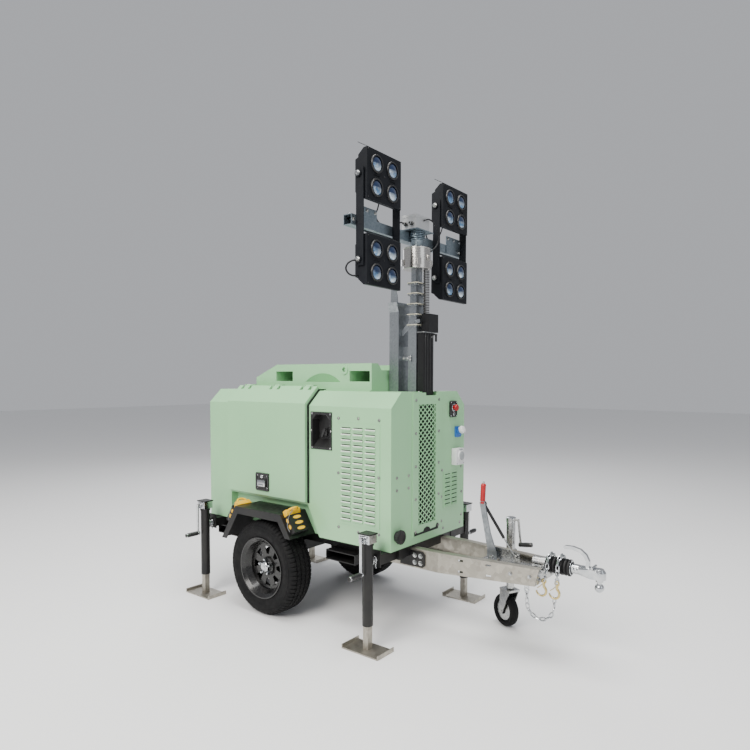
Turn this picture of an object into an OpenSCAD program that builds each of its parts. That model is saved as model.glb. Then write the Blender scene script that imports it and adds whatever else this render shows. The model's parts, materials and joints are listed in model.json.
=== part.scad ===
// Mobile light tower: a single-axle road trailer with a closed generator
// canopy, four swivel jacks, a braked A-frame drawbar and a telescopic mast
// that carries four floodlights. Millimetres, +X towards the coupling,
// +Y to the left, +Z up. The axle stands at X = 0 in the drawing modules,
// and in_frame() moves everything so that the middle of the length is at X = 0.

/* [Canopy] */
// Width of the canopy over its side walls
canopy_w = 820; // [760:5:880]
// Front face of the canopy ahead of the axle
canopy_front_x = 970; // [950:5:1000]
// Rear face of the canopy behind the axle
canopy_rear_x = -750; // [-770:5:-720]
// Underside of the canopy above the ground
canopy_z0 = 551; // [540:1:565]
// Roof above the ground
canopy_z1 = 1492; // [1440:2:1560]
// Height of the sloping edge between side and roof
bevel_h = 94; // [60:1:120]
// Width of the sloping edge between side and roof
bevel_w = 97; // [60:1:120]
// Thickness of the foam-lined sheet walls
wall_t = 30; // [20:1:40]
// Joint between the front and the rear section ahead of the axle
split_x = 294; // [280:1:310]

/* [Side doors] */
// Rear edge of the side doors from the axle
door_x0 = -503; // [-540:1:-460]
// Lower edge of the side doors above the ground
door_z0 = 770; // [765:1:800]
// Thickness of a side door
door_t = 25; // [18:1:32]
// Gap between a shut door and the canopy wall behind it
door_gap = 5; // [5:1:8]
// How far a door laps over the edge of its opening
door_lap = 22; // [12:1:40]
// Radius of the door hinge pins
hinge_pin_r = 5; // [4:0.5:7]
// Running clearance of pins in their bores, on the radius
pin_fit = 0.05; // [0.03:0.01:0.08]

/* [Roof frame] */
// Distance of each lifting plate from the edge of the flat roof
lift_in = 63; // [50:1:90]
// Thickness of the lifting plates
lift_plate_t = 8; // [6:1:12]
// Top of the lifting frame above the roof
lift_frame_h = 178; // [150:1:200]
// Height of the plinth under the lifting frame
plinth_h = 58; // [40:1:60]
// Clear width of the two cross pockets
lift_pocket_w = 170; // [150:1:172]
// Clear height of the two cross pockets
lift_pocket_h = 68; // [50:1:75]
// Radius of the hole in each lifting eye
lift_eye_r = 17; // [12:1:20]

/* [Grilles] */
// Louvre rows of a side panel
louvre_rows = 17; // [8:1:17]
// Louvre columns of a side panel
louvre_cols = 3; // [2:1:3]
// Distance between two louvre rows
louvre_pitch = 35; // [32:1:36]
// Width of one louvre
louvre_w = 76; // [50:1:80]
// Distance between two diamonds of the front mesh
mesh_pitch = 36; // [30:1:60]
// Width of the strands of the front mesh
mesh_strand = 6; // [4:1:10]

/* [Wheels] */
// Outside diameter of the tyres
tyre_d = 630; // [600:2:640]
// Width of the tyres
tyre_w = 195; // [165:5:205]
// Radius of the rim's lip
rim_r = 195; // [180:1:200]
// How far the middle of each tyre stands out from the canopy's side
wheel_out = 69.5; // [65:0.5:80]
// Radius of the wheel spindles
spindle_r = 20; // [15:1:25]
// Windows in a wheel disc
rim_windows = 8; // [5:1:8]

/* [Mudguards] */
// Flat top of the mudguards above the ground
guard_z = 700; // [690:1:720]
// Rear end of the flat top from the axle
guard_top_x0 = -250; // [-260:1:-235]
// Front end of the flat top from the axle
guard_top_x1 = 202; // [195:1:215]
// Sheet thickness of the mudguards
guard_t = 4; // [3:0.5:6]
// Depth of the lip along the outer edge
guard_lip = 50; // [30:1:60]

/* [Chassis] */
// Height of the chassis rails
rail_h = 62; // [50:1:70]
// Width of the chassis rails
rail_w = 60; // [40:1:70]
// Distance of the rail centres from the middle
rail_y = 290; // [250:1:300]
// Thickness of the floor plate
floor_t = 4; // [3:0.5:8]
// Clear width of the fork pockets
fork_w = 234; // [200:1:240]
// Clear height of the fork pockets
fork_h = 50; // [45:1:55]
// Middle of the front fork pocket from the axle
fork_front_x = 569; // [560:1:600]
// Middle of the rear fork pocket from the axle
fork_rear_x = -540; // [-560:1:-530]
// Side of the square axle tube
axle_tube = 70; // [50:1:80]

/* [Jacks] */
// Front pair of jacks ahead of the axle
jack_front_x = 902; // [890:1:910]
// Rear pair of jacks from the axle
jack_rear_x = -642; // [-650:1:-630]
// Distance of the jack centres from the canopy's side
jack_out = 129; // [120:1:150]
// Radius of the outer jack tube
jack_r = 31.5; // [29:0.5:36]
// Wall of the outer jack tube
jack_wall = 4.5; // [3:0.5:6]
// Height of the swivel pipe above the ground
jack_pivot_z = 519; // [515:1:522]
// Top of the gear head above the ground
jack_top_z = 686; // [670:1:720]
// Bottom of the outer jack tube above the ground
jack_tube_z0 = 146; // [130:1:200]
// Length of the foot plates
foot_len = 270; // [200:5:300]
// Width of the foot plates
foot_w = 150; // [100:5:160]
// Radius of the swivel pipe
swivel_r = 20; // [16:1:22]

/* [Drawbar] */
// Height of the drawbar channels at their bend
draw_h = 120; // [100:1:122]
// Height of the drawbar channels at the coupling
draw_h1 = 96; // [90:1:110]
// Width of the channel flanges
draw_flange = 46; // [36:1:60]
// Wall of the channels
draw_wall = 5; // [4:0.5:8]
// Rear end of the channels ahead of the axle
draw_x0 = 720; // [700:1:760]
// Bend of the channels ahead of the axle
draw_bend_x = 1155; // [1130:1:1170]
// Front end of the channels ahead of the axle
draw_x1 = 1772; // [1750:1:1790]
// Outer face of the straight stretch from the middle
draw_y0 = 190; // [180:1:196]
// Outer face of the channels at the coupling from the middle
draw_y1 = 128; // [118:1:134]
// Top of the channels above the ground
draw_z1 = 533; // [525:1:535]
// Axis of the overrun shaft above the ground
shaft_z = 538; // [534:1:545]
// Front end of the coupling head ahead of the axle
nose_x = 2096; // [2070:1:2120]

/* [Handbrake] */
// Pivot of the handbrake lever ahead of the axle
lever_x = 1421; // [1410:1:1430]
// Pivot of the handbrake lever above the ground
lever_z = 510; // [506:1:520]
// Length of the lever from its pivot to the foot of the grip
lever_len = 334; // [320:1:345]
// Lean of the lever towards the canopy
lever_lean = 12; // [9:0.5:14]
// Length of the grip
grip_len = 112; // [90:1:120]
// Foot of the gas strut ahead of the axle
strut_x = 1563; // [1550:1:1575]
// Distance from the lever's pivot to the strut's pin
strut_arm = 320; // [300:1:325]

/* [Jockey wheel] */
// Jockey wheel stem ahead of the axle
jockey_x = 1415; // [1400:1:1430]
// Jockey wheel stem from the middle
jockey_y = 250; // [245:1:262]
// Diameter of the jockey wheel
jockey_d = 206; // [190:2:220]
// Width of the jockey wheel
jockey_w = 62; // [50:1:66]
// How far the jockey wheel trails its stem
jockey_trail = 40; // [30:1:50]
// Radius of the jockey wheel's outer tube
jockey_r = 28; // [27:0.5:32]
// How far the castor stands turned from straight ahead
jockey_yaw = -25; // [-40:1:0]

/* [Mast] */
// Mast axis ahead of the axle
mast_x = 855; // [850:1:858]
// Depth of the fixed outer mast tube, along the trailer
mast_dx = 64; // [60:1:68]
// Width of the fixed outer mast tube, across the trailer
mast_dy = 92; // [86:1:104]
// How much smaller each section is than the one around it
mast_step = 5; // [4.8:0.1:5.4]
// Wall of the mast tubes
mast_wall = 2; // [1.6:0.1:2.2]
// Sliding clearance of each section in the collar below it
mast_fit = 0.3; // [0.2:0.05:0.4]
// Top of the fixed tube above the ground
mast_z = 1914; // [1880:2:1940]
// Height from each collar to the next when the mast is down
collar_rise = 66.5; // [60:0.5:70]
// Thickness of the collars
collar_h = 12; // [8:1:20]
// Height of the head's can above the top collar
can_gap = 90; // [60:1:110]
// Radius of the head's can
can_r = 87; // [80:1:98]
// Height of the head's can
can_h = 133; // [110:1:140]

/* [Lamps] */
// Length of the lamp crossbar
bar_len = 1200; // [1150:5:1240]
// Side of the square crossbar tube
bar_side = 60; // [50:1:64]
// Width of a lamp
lamp_w = 315; // [290:1:320]
// Height of a lamp
lamp_h = 285; // [260:1:290]
// Depth of a lamp
lamp_d = 100; // [80:1:110]
// Distance of the lamp centres from the mast axis
lamp_y = 390; // [370:1:410]
// Height of the upper lamps above the crossbar's middle
lamp_up = 258; // [245:1:270]
// Drop of the lower lamps below the crossbar's middle
lamp_down = 222; // [215:1:240]
// Radius of a lens
lens_r = 42; // [35:1:46]

/* [Hidden] */

$fn = 48;

mint = [0.62, 0.78, 0.64];
black = [0.09, 0.09, 0.10];
zinc = [0.70, 0.71, 0.72];
chrome = [0.82, 0.83, 0.85];
yellow = [0.95, 0.80, 0.05];
red = [0.75, 0.08, 0.08];
rubber = [0.06, 0.06, 0.06];

// Middle of the whole length, between the rear foot plates and the coupling's nose
x_mid = (nose_x + jack_rear_x - foot_len / 2) / 2;

bevel_a = atan2(bevel_w, bevel_h);

// The canopy's outline moved outwards by d: corner below the slope, and roof corner
function side_y(d) = canopy_w / 2 + d;
function eave_z(d) = canopy_z1 - bevel_h + d * tan(bevel_a / 2);
function roof_y(d) = canopy_w / 2 - bevel_w + d * tan((90 - bevel_a) / 2);
function roof_z(d) = canopy_z1 + d;

// Opening in the front wall behind the mesh
grille_open = [[canopy_front_x - wall_t, -150, 649], [canopy_front_x, 65, 1425]];

// Wheel arch in the canopy, seen from the side
arch_z = door_z0 - 20;
arch_x0 = door_x0;
arch_x1 = split_x - 10;
arch_slope = 104;
arch_y = canopy_w / 2 - 55;

door_x1 = split_x - 6;
door_out = door_gap + door_t;
hinge_y = roof_y(door_gap) - 4;
hinge_z = roof_z(door_out) - 1;
hinge_knuckle_r = hinge_pin_r + 4;
hinge_len = 60;
hinge_ear = 16;
hinge_xs = [door_x0 + 90, (door_x0 + door_x1) / 2, door_x1 - 90];

rail_z0 = canopy_z0 - floor_t - rail_h;
fork_wall = 6;
fork_z0 = rail_z0 - fork_h - 2 * fork_wall;
axle_x = 140;
axle_z = rail_z0 - axle_tube / 2;
hub_z = tyre_d / 2;
wheel_y = canopy_w / 2 + wheel_out;
jack_y = canopy_w / 2 + jack_out;
lift_plate_y = canopy_w / 2 - bevel_w - lift_in;

outrig_w = 80;
outrig_y = jack_y - jack_r - 30;
crank_y = jack_y + 62;
swivel_y1 = jack_y - jack_r - 1;
leg_side = floor(sqrt(2) * (jack_r - jack_wall - 0.1) * 10) / 10;

draw_yaw = atan2(draw_y0 - draw_y1, draw_x1 - draw_bend_x);
// Distance of a channel's outer face from the middle at x
function draw_y(x) = x < draw_bend_x ? draw_y0 : draw_y0 - (x - draw_bend_x) * tan(draw_yaw);
// Underside of a channel at x
function draw_z0(x) = draw_z1 - (x < draw_bend_x ? draw_h : draw_h - (x - draw_bend_x) * (draw_h
    - draw_h1) / (draw_x1 - draw_bend_x));

mast_n = 5;
function section_dx(i) = mast_dx - mast_step * i;
function section_dy(i) = mast_dy - mast_step * i;
function section_z1(i) = mast_z + collar_rise * i;
mast_z0 = canopy_z0;
section_z0 = mast_z0 + 14;
can_z0 = section_z1(mast_n - 1) + can_gap;
can_z1 = can_z0 + can_h;
neck_r = 30;
neck_h = 37;
bar_x = mast_x - 55;
bar_z = can_z1 + neck_h + bar_side / 2;
lamp_x = bar_x + bar_side / 2 + 20;
lamp_bar_t = 6;
lamp_bar_off = lamp_w / 2 + 8;
lamp_pin_r = 8;

column_d = 74;
column_w = 168;
column_x0 = mast_x - mast_dx / 2 - 49 - column_d;
column_z1 = 2060;

duct_w = 110;
duct_d = 45;
duct_x0 = mast_x + mast_dx / 2 + 18;
duct_z0 = grille_open[0][2] + 8;
duct_z1 = 1870;
duct_cap_z1 = 1985;

// Places a drawing made about the axle in the part's own frame
module in_frame() {
    translate([-x_mid, 0, 0]) children();
}

// The left piece and its mirror image on the right
module both_sides() {
    children();
    mirror([0, 1, 0]) children();
}

// A box from its lowest to its highest corner
module span(a, b) {
    translate(a) cube([b[0] - a[0], b[1] - a[1], b[2] - a[2]]);
}

// A box about the Z axis, standing at z = 0
module block(dx, dy, h) {
    translate([-dx / 2, -dy / 2, 0]) cube([dx, dy, h]);
}

// A rectangular tube along Z
module box_tube(dx, dy, wall, h) {
    difference() {
        block(dx, dy, h);
        translate([0, 0, -1]) block(dx - 2 * wall, dy - 2 * wall, h + 2);
    }
}

// Extrudes an outline drawn in X and Z along Y from y0 to y1
module along_y(y0, y1) {
    translate([0, y1, 0]) rotate([90, 0, 0]) linear_extrude(y1 - y0) children();
}

// Extrudes an outline drawn in Y and Z along X from x0 to x1
module along_x(x0, x1) {
    translate([x0, 0, 0]) rotate([90, 0, 90]) linear_extrude(x1 - x0) children();
}

// Cross section of the canopy moved outwards by d
module canopy_outline(d, z0) {
    polygon([
        [-side_y(d), z0], [-side_y(d), eave_z(d)], [-roof_y(d), roof_z(d)],
        [roof_y(d), roof_z(d)], [side_y(d), eave_z(d)], [side_y(d), z0]
    ]);
}

// Side view of the wheel arch, grown by g
module arch_outline(g) {
    polygon([
        [arch_x0 - g, arch_z + g], [arch_x1 + g, arch_z + g],
        [arch_x1 + arch_slope + g, canopy_z0 - 1], [arch_x0 - g, canopy_z0 - 1]
    ]);
}

// Canopy walls with the wheel arches, before the ends are cut off
module canopy_shell(x0, x1, end_x0, end_x1) {
    difference() {
        union() {
            difference() {
                along_x(x0, x1) canopy_outline(0, canopy_z0);
                along_x(end_x0, end_x1) canopy_outline(-wall_t, canopy_z0 - 1);
            }
            intersection() {
                along_x(x0, x1) canopy_outline(0, canopy_z0);
                both_sides() along_y(arch_y - wall_t, canopy_w / 2) arch_outline(wall_t);
            }
        }
        both_sides() along_y(arch_y, canopy_w) arch_outline(0);
    }
}

// Opening behind one side door, through side wall and slope
module door_opening() {
    x0 = door_x0 + door_lap;
    x1 = door_x1 - door_lap;
    z0 = door_z0 + door_lap;
    along_x(x0, x1) polygon([
        [side_y(1), z0], [side_y(1), eave_z(1)],
        [roof_y(1) + door_lap, roof_z(1) - door_lap * bevel_h / bevel_w],
        [roof_y(-wall_t) + door_lap, roof_z(-wall_t) - 1.4 * door_lap],
        [side_y(-wall_t - 1), eave_z(-wall_t - 1)], [side_y(-wall_t - 1), z0]
    ]);
}

module canopy_front() {
    color(mint) difference() {
        canopy_shell(split_x, canopy_front_x, split_x - 1, canopy_front_x - wall_t);
        span([grille_open[0][0] - 60, grille_open[0][1], grille_open[0][2]],
             [canopy_front_x + 1, grille_open[1][1], grille_open[1][2]]);
        span([column_x0 - 14, -column_w / 2 - 12, canopy_z1 - wall_t - 1],
             [canopy_front_x + 1, column_w / 2 + 12, canopy_z1 + 1]);
        span([canopy_front_x - wall_t - 1, -duct_w / 2 - 12, grille_open[1][2] - 1],
             [canopy_front_x + 1, duct_w / 2 + 12, canopy_z1 + 1]);
        span([recess_x0, -canopy_w / 2 - 1, recess_z0], [recess_x1, -canopy_w / 2 + wall_t + 1, recess_z1]);
    }
}

// Depth of the air hood over the rear wall
hood_d = 24;

module canopy_rear() {
    color(mint) {
        difference() {
            canopy_shell(canopy_rear_x, split_x, canopy_rear_x + wall_t, split_x + 1);
            both_sides() door_opening();
        }
        both_sides() for (x = hinge_xs) hinge_block(x);
        along_y(30 - canopy_w / 2, canopy_w / 2 - 30) polygon([
            [canopy_rear_x + 1, 620], [canopy_rear_x - hood_d, 620], [canopy_rear_x - hood_d, 756],
            [canopy_rear_x + 1, 756 + hood_d]
        ]);
    }
}

// Fixed half of a door hinge: a block on the roof with a pin at each end
module hinge_block(x) {
    translate([x, hinge_y, hinge_z]) {
        difference() {
            translate([-hinge_len / 2 - hinge_ear, -24, canopy_z1 - hinge_z])
                cube([hinge_len + 2 * hinge_ear, 24 + hinge_knuckle_r, hinge_z - canopy_z1 + 8]);
            translate([-hinge_len / 2, -13, canopy_z1 - hinge_z - 1])
                cube([hinge_len, 40, hinge_z - canopy_z1 + 20]);
        }
        translate([-hinge_len / 2 - 1, 0, 0]) rotate([0, 90, 0]) cylinder(r = hinge_pin_r, h = hinge_len + 2);
    }
}

module door() {
    difference() {
        union() {
            along_x(door_x0, door_x1) polygon([
                [side_y(door_gap), door_z0], [side_y(door_out), door_z0],
                [side_y(door_out), eave_z(door_out)], [roof_y(door_out), roof_z(door_out)],
                [roof_y(door_gap), roof_z(door_gap)], [side_y(door_gap), eave_z(door_gap)]
            ]);
            for (x = hinge_xs) hinge_knuckle(x);
        }
        for (x = hinge_xs) {
            translate([x - hinge_len, hinge_y, hinge_z]) rotate([0, 90, 0])
                cylinder(r = hinge_pin_r + pin_fit, h = 2 * hinge_len);
            for (s = [-1, 1]) translate([x + s * (hinge_len + hinge_ear) / 2 - hinge_ear / 2 - 6,
                hinge_y - 20, hinge_z - 40])
                cube([hinge_ear + 12, 60, 80]);
        }
    }
}

// Moving half of a door hinge
module hinge_knuckle(x) {
    translate([x - hinge_len / 2 + 6, hinge_y, hinge_z]) rotate([0, 90, 0])
        cylinder(r = hinge_knuckle_r, h = hinge_len - 12);
    translate([x - hinge_len / 2 + 6, hinge_y, hinge_z - hinge_knuckle_r])
        cube([hinge_len - 12, roof_y(door_out) - hinge_y + 2, hinge_knuckle_r]);
}

module door_left() {
    color(mint) door();
}

module door_right() {
    color(mint) mirror([0, 1, 0]) door();
}

latch_x0 = -190;
latch_x1 = -58;
latch_z0 = 801;
latch_z1 = 922;

// Paddle latch on the outside of a door
module latch() {
    y0 = side_y(door_out);
    span([latch_x0, y0, latch_z0], [latch_x1, y0 + 5, latch_z1]);
    span([latch_x0 + 22, y0 + 5, latch_z0 + 22], [latch_x1 - 22, y0 + 14, latch_z1 - 40]);
}

module latch_left() {
    color(black) latch();
}

module latch_right() {
    color(black) mirror([0, 1, 0]) latch();
}

lift_x0 = -407;
lift_x1 = column_x0 - 8;
lift_eye_x = 466;
lift_pocket_xs = [-107, 592];
lift_pocket_wall = 6;

// Side view of a lifting plate with its openings
module lift_plate_outline() {
    z0 = canopy_z1;
    difference() {
        polygon([
            [lift_x0, z0], [lift_x0, z0 + plinth_h + 30], [lift_x0 + 223, z0 + lift_frame_h],
            [lift_x1, z0 + lift_frame_h], [lift_x1, z0]
        ]);
        for (x = lift_pocket_xs)
            translate([x - lift_pocket_w / 2, z0 + plinth_h + 4]) square([lift_pocket_w, lift_pocket_h]);
        intersection() {
            translate([267, z0 + plinth_h + 58 - 255]) circle(r = 255, $fn = 96);
            translate([60, z0 + plinth_h]) square([420, 100]);
        }
        translate([lift_eye_x, z0 + 138]) circle(r = lift_eye_r);
    }
}

module roof_frame() {
    z0 = canopy_z1;
    zp = z0 + plinth_h + 4;
    zt = z0 + lift_frame_h;
    color(mint) {
        union() {
            both_sides() {
                along_y(lift_plate_y - lift_plate_t / 2, lift_plate_y + lift_plate_t / 2)
                    lift_plate_outline();
                span([lift_x0, lift_plate_y - 30, z0], [lift_x1, lift_plate_y + 24, z0 + 6]);
                difference() {
                    translate([lift_eye_x, lift_plate_y + lift_plate_t / 2 + 8, z0 + 138])
                        rotate([90, 0, 0]) cylinder(r = lift_eye_r + 13, h = lift_plate_t + 16);
                    translate([lift_eye_x, lift_plate_y + 40, z0 + 138])
                        rotate([90, 0, 0]) cylinder(r = lift_eye_r, h = 80);
                }
            }
            for (x = lift_pocket_xs) difference() {
                span([x - lift_pocket_w / 2 - lift_pocket_wall, -lift_plate_y, zp - lift_pocket_wall],
                     [x + lift_pocket_w / 2 + lift_pocket_wall, lift_plate_y, zp + lift_pocket_h
                         + lift_pocket_wall]);
                span([x - lift_pocket_w / 2, -lift_plate_y - 20, zp],
                     [x + lift_pocket_w / 2, lift_plate_y + 20, zp + lift_pocket_h]);
            }
            along_x(lift_x1 - lift_plate_t, lift_x1) polygon([
                [-lift_plate_y, z0], [-lift_plate_y, zt], [-lift_plate_y + 60, zt], [-column_w / 2 - 16,
                    z0 + 70],
                [column_w / 2 + 16, z0 + 70], [lift_plate_y - 60, zt], [lift_plate_y, zt], [lift_plate_y, z0]
            ]);
        }
    }
}

grille_y0 = -200;
grille_y1 = 116;
grille_z0 = 600;
grille_z1 = canopy_z1 - 5;
grille_t = 6;

module front_grille() {
    x0 = canopy_front_x;
    color(mint) {
        difference() {
            span([x0, grille_y0, grille_z0], [x0 + grille_t, grille_y1, grille_z1]);
            span([x0 - 1, grille_open[0][1] + 12, grille_open[0][2] + 12],
                 [x0 + grille_t + 1, grille_open[1][1] - 12, grille_open[1][2] - 12]);
            span([x0 - 1, -duct_w / 2 - 8, grille_z1 - 18], [x0 + grille_t + 1, duct_w / 2 + 8,
                grille_z1 + 1]);
        }
        intersection() {
            span([x0, grille_open[0][1] + 11, grille_open[0][2] + 11],
                 [x0 + 2.5, grille_open[1][1] - 11, grille_open[1][2] - 11]);
            mesh_strands(x0);
        }
    }
}

// Crossed strands of the front mesh
module mesh_strands(x0) {
    h = grille_open[1][2] - grille_open[0][2];
    w = grille_open[1][1] - grille_open[0][1];
    n = ceil((h + w) / mesh_pitch / 2) + 1;
    yc = (grille_open[0][1] + grille_open[1][1]) / 2;
    zc = (grille_open[0][2] + grille_open[1][2]) / 2;
    for (s = [-1, 1], i = [-n:n])
        translate([x0 - 1, yc, zc + i * mesh_pitch]) rotate([s * 38, 0, 0])
            translate([0, -w, -mesh_strand / 2]) cube([5, 2 * w, mesh_strand]);
}

louvre_x0 = 563;
louvre_x1 = 873;
louvre_z0 = 684;
louvre_z1 = 1284;
louvre_t = 3;
louvre_lip = 7;

// A pressed louvre, seen from the outside on the plane Y = 0, its slot below
module louvre(w, h) {
    translate([-w / 2, 0, 0]) rotate([90, 0, 90]) linear_extrude(w)
        polygon([[0, h], [0, 0], [louvre_lip, 0], [louvre_lip - 1.5, 3]]);
}

// A removable louvre panel on the outside of a side wall
module louvre_panel() {
    y0 = canopy_w / 2;
    xc = (louvre_x0 + louvre_x1) / 2;
    col = (louvre_x1 - louvre_x0) / louvre_cols;
    span([louvre_x0 - 14, y0, louvre_z0 - 14], [louvre_x1 + 14, y0 + louvre_t, louvre_z1 + 14]);
    for (c = [0:louvre_cols - 1], r = [0:louvre_rows - 1])
        translate([xc + (c - (louvre_cols - 1) / 2) * col * 0.94, y0 + louvre_t,
            louvre_z0 + r * louvre_pitch + 8])
            louvre(louvre_w, 15);
}

small_louvre_y0 = canopy_w / 2 - 260;
small_louvre_y1 = canopy_w / 2 - 80;
small_louvre_z0 = 720;
small_louvre_z1 = 960;

module louvre_panels() {
    color(mint) {
        both_sides() louvre_panel();
        span([canopy_front_x, small_louvre_y0, small_louvre_z0],
             [canopy_front_x + louvre_t, small_louvre_y1, small_louvre_z1]);
        for (c = [-1, 1], r = [0:7])
            translate([canopy_front_x + louvre_t, (small_louvre_y0 + small_louvre_y1) / 2 + 42 * c,
                small_louvre_z0 + 10 + 28 * r])
                rotate([0, 0, -90]) louvre(64, 14);
    }
}

recess_x0 = 326;
recess_x1 = 488;
recess_z0 = 1132;
recess_z1 = 1348;

// Opening of the battery switch's cup, seen from the side
module cup_outline() {
    c = 34;
    polygon([
        [recess_x0 + 5, recess_z0 + 5], [recess_x1 - 5, recess_z0 + 5], [recess_x1 - 5, recess_z1 - 5 - c],
        [recess_x1 - 5 - c, recess_z1 - 5], [recess_x0 + 5 + c, recess_z1 - 5], [recess_x0 + 5,
            recess_z1 - 5 - c]
    ]);
}

module switch_recess() {
    y0 = -canopy_w / 2;
    xc = (recess_x0 + recess_x1) / 2;
    zc = (recess_z0 + recess_z1) / 2 - 14;
    color(black) {
        difference() {
            union() {
                span([recess_x0 - 12, y0 - 4, recess_z0 - 12], [recess_x1 + 12, y0, recess_z1 + 12]);
                span([recess_x0 + 1, y0 - 1, recess_z0 + 1], [recess_x1 - 1, y0 + 62, recess_z1 - 1]);
            }
            along_y(y0 - 5, y0 + 58) cup_outline();
        }
        along_x(recess_x0 + 4, recess_x1 - 4) polygon([
            [y0 + 1, recess_z0 + 4], [y0 + 60, recess_z0 + 4], [y0 + 60, recess_z0 + 52]
        ]);
        translate([xc, y0 + 59, zc]) rotate([90, 0, 0]) cylinder(r = 33, h = 16);
        translate([xc, y0 + 45, zc]) rotate([90, 0, 0]) cylinder(r = 21, h = 14);
        translate([xc, y0 + 32, zc]) rotate([0, 28, 0]) translate([-8, -16, -30]) cube([16, 17, 60]);
    }
}

estop_y = canopy_w / 2 - 151;
estop_z = 1373;
blue_socket = [canopy_w / 2 - 92, 1217];
white_socket = [canopy_w / 2 - 115, 1053];

module front_controls() {
    x0 = canopy_front_x;
    color(black) span([x0, estop_y - 42, estop_z - 54], [x0 + 8, estop_y + 42, estop_z + 54]);
    color(red) translate([x0 + 7, estop_y, estop_z]) rotate([0, 90, 0]) cylinder(r = 20, h = 34);
    color([0.15, 0.35, 0.75]) translate([x0, blue_socket[0], blue_socket[1]]) {
        translate([0, -32, -36]) cube([16, 64, 72]);
        rotate([0, 70, 0]) translate([0, 0, 9.5]) cylinder(r = 24, h = 48.5);
    }
    color("white") translate([x0, white_socket[0], white_socket[1]]) {
        translate([0, -50, -56]) cube([44, 100, 112]);
        translate([43, 0, 6]) rotate([0, 90, 0]) cylinder(r = 36, h = 18);
    }
}

module air_cap() {
    color(black) translate([canopy_front_x, 60 - canopy_w / 2, 635]) rotate([0, 90, 0]) {
        cylinder(r = 32, h = 18);
        translate([0, 0, 17]) cylinder(r = 40, h = 20);
    }
}

module engine_block() {
    color([0.25, 0.27, 0.28]) {
        span([-420, -210, 600], [260, 210, 1130]);
        for (x = [-360, 140], y = [-190, 130]) span([x, y, canopy_z0], [x + 60, y + 60, 601]);
    }
}

module chassis_frame() {
    color(black) {
        span([canopy_rear_x, -arch_y, canopy_z0 - floor_t], [canopy_front_x - 4, arch_y, canopy_z0]);
        for (s = [-1, 1]) {
            span([canopy_rear_x + 4, s * rail_y - rail_w / 2, rail_z0],
                 [canopy_front_x - 6, s * rail_y + rail_w / 2, canopy_z0 - floor_t + 0.5]);
            for (r = [[arch_x1 + arch_slope + 8, canopy_front_x - 4], [canopy_rear_x, arch_x0 - 4]])
                span([r[0], min(s * arch_y, s * canopy_w / 2), canopy_z0 - floor_t],
                     [r[1], max(s * arch_y, s * canopy_w / 2), canopy_z0]);
        }
        for (x = [canopy_rear_x + 10, -300, 330])
            span([x, -rail_y, rail_z0 + 4], [x + 36, rail_y, canopy_z0 - floor_t + 0.5]);
        difference() {
            union() {
                for (x = [canopy_front_x - 46, 740])
                    span([x, -rail_y, rail_z0 + 4], [x + 36, rail_y, canopy_z0 - floor_t + 0.5]);
                outrigger_beam(jack_front_x);
            }
            both_sides() span([draw_x0 - 20, draw_y0 - draw_flange - 1, rail_z0],
                              [canopy_front_x, draw_y0 + plate_t + 0.5, draw_z1 + 0.3]);
        }
        outrigger_beam(jack_rear_x);
        for (x = [fork_front_x, fork_rear_x]) fork_pocket(x);
        for (x = [jack_front_x, jack_rear_x]) outrigger_ends(x);
    }
}

// A pocket for a lifting truck's fork, right across the chassis
module fork_pocket(x) {
    w = fork_w / 2;
    difference() {
        span([x - w - fork_wall, -canopy_w / 2, fork_z0],
             [x + w + fork_wall, canopy_w / 2, rail_z0 + 0.5]);
        span([x - w, -canopy_w, fork_z0 + fork_wall], [x + w, canopy_w, fork_z0 + fork_wall + fork_h]);
    }
}

// A beam across the chassis
module outrigger_beam(x) {
    span([x - outrig_w / 2, -outrig_y, rail_z0 + 2], [x + outrig_w / 2, outrig_y, canopy_z0 - floor_t + 0.5]);
}

// The flange and the swivel pipe at each end of an outrigger beam
module outrigger_ends(x) {
    both_sides() {
        span([x - 48, outrig_y - 1, rail_z0 - 8], [x + 48, outrig_y + 7, rail_z0 + 92]);
        translate([x, swivel_y1 - 1, jack_pivot_z]) rotate([90, 0, 0])
            cylinder(r = swivel_r, h = swivel_y1 - 2 - outrig_y);
    }
}

// Outer face of the trailing arms
arm_y = wheel_y - tyre_w / 2 - 12;

module axle_beam() {
    color(black) {
        span([axle_x - axle_tube / 2, 30 - arm_y, axle_z - axle_tube / 2],
             [axle_x + axle_tube / 2, arm_y - 30, axle_z + axle_tube / 2]);
        both_sides() {
            hull() {
                translate([axle_x, arm_y, axle_z]) rotate([90, 0, 0]) cylinder(r = 36, h = 31);
                translate([0, arm_y, hub_z]) rotate([90, 0, 0]) cylinder(r = 30, h = 31);
            }
            translate([0, wheel_y + 30, hub_z]) rotate([90, 0, 0])
                cylinder(r = spindle_r, h = wheel_y + 31 - arm_y);
        }
    }
}

tyre_in_r = rim_r - 16;

// Half a tyre's section, from the bead out to the middle of the tread
module tyre_section() {
    r = tyre_d / 2;
    w = tyre_w / 2;
    difference() {
        polygon([
            [tyre_in_r + 0.3, -w + 26], [rim_r + 10, -w + 12], [rim_r + 40, -w + 2], [rim_r + 62, -w],
            [rim_r + 88, -w + 5], [r - 16, -w + 14], [r - 5, -w + 30], [r, -w + 55], [r, w - 55],
            [r - 5, w - 30], [r - 16, w - 14], [rim_r + 88, w - 5], [rim_r + 62, w],
            [rim_r + 40, w - 2], [rim_r + 10, w - 12], [tyre_in_r + 0.3, w - 26]
        ]);
        polygon([
            [tyre_in_r - 1, -w + 40], [rim_r + 30, -w + 16], [rim_r + 66, -w + 14], [r - 24, -w + 34],
            [r - 20, 0], [r - 24, w - 34], [rim_r + 66, w - 14], [rim_r + 30, w - 16], [tyre_in_r - 1, w - 40]
        ]);
    }
}

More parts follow.
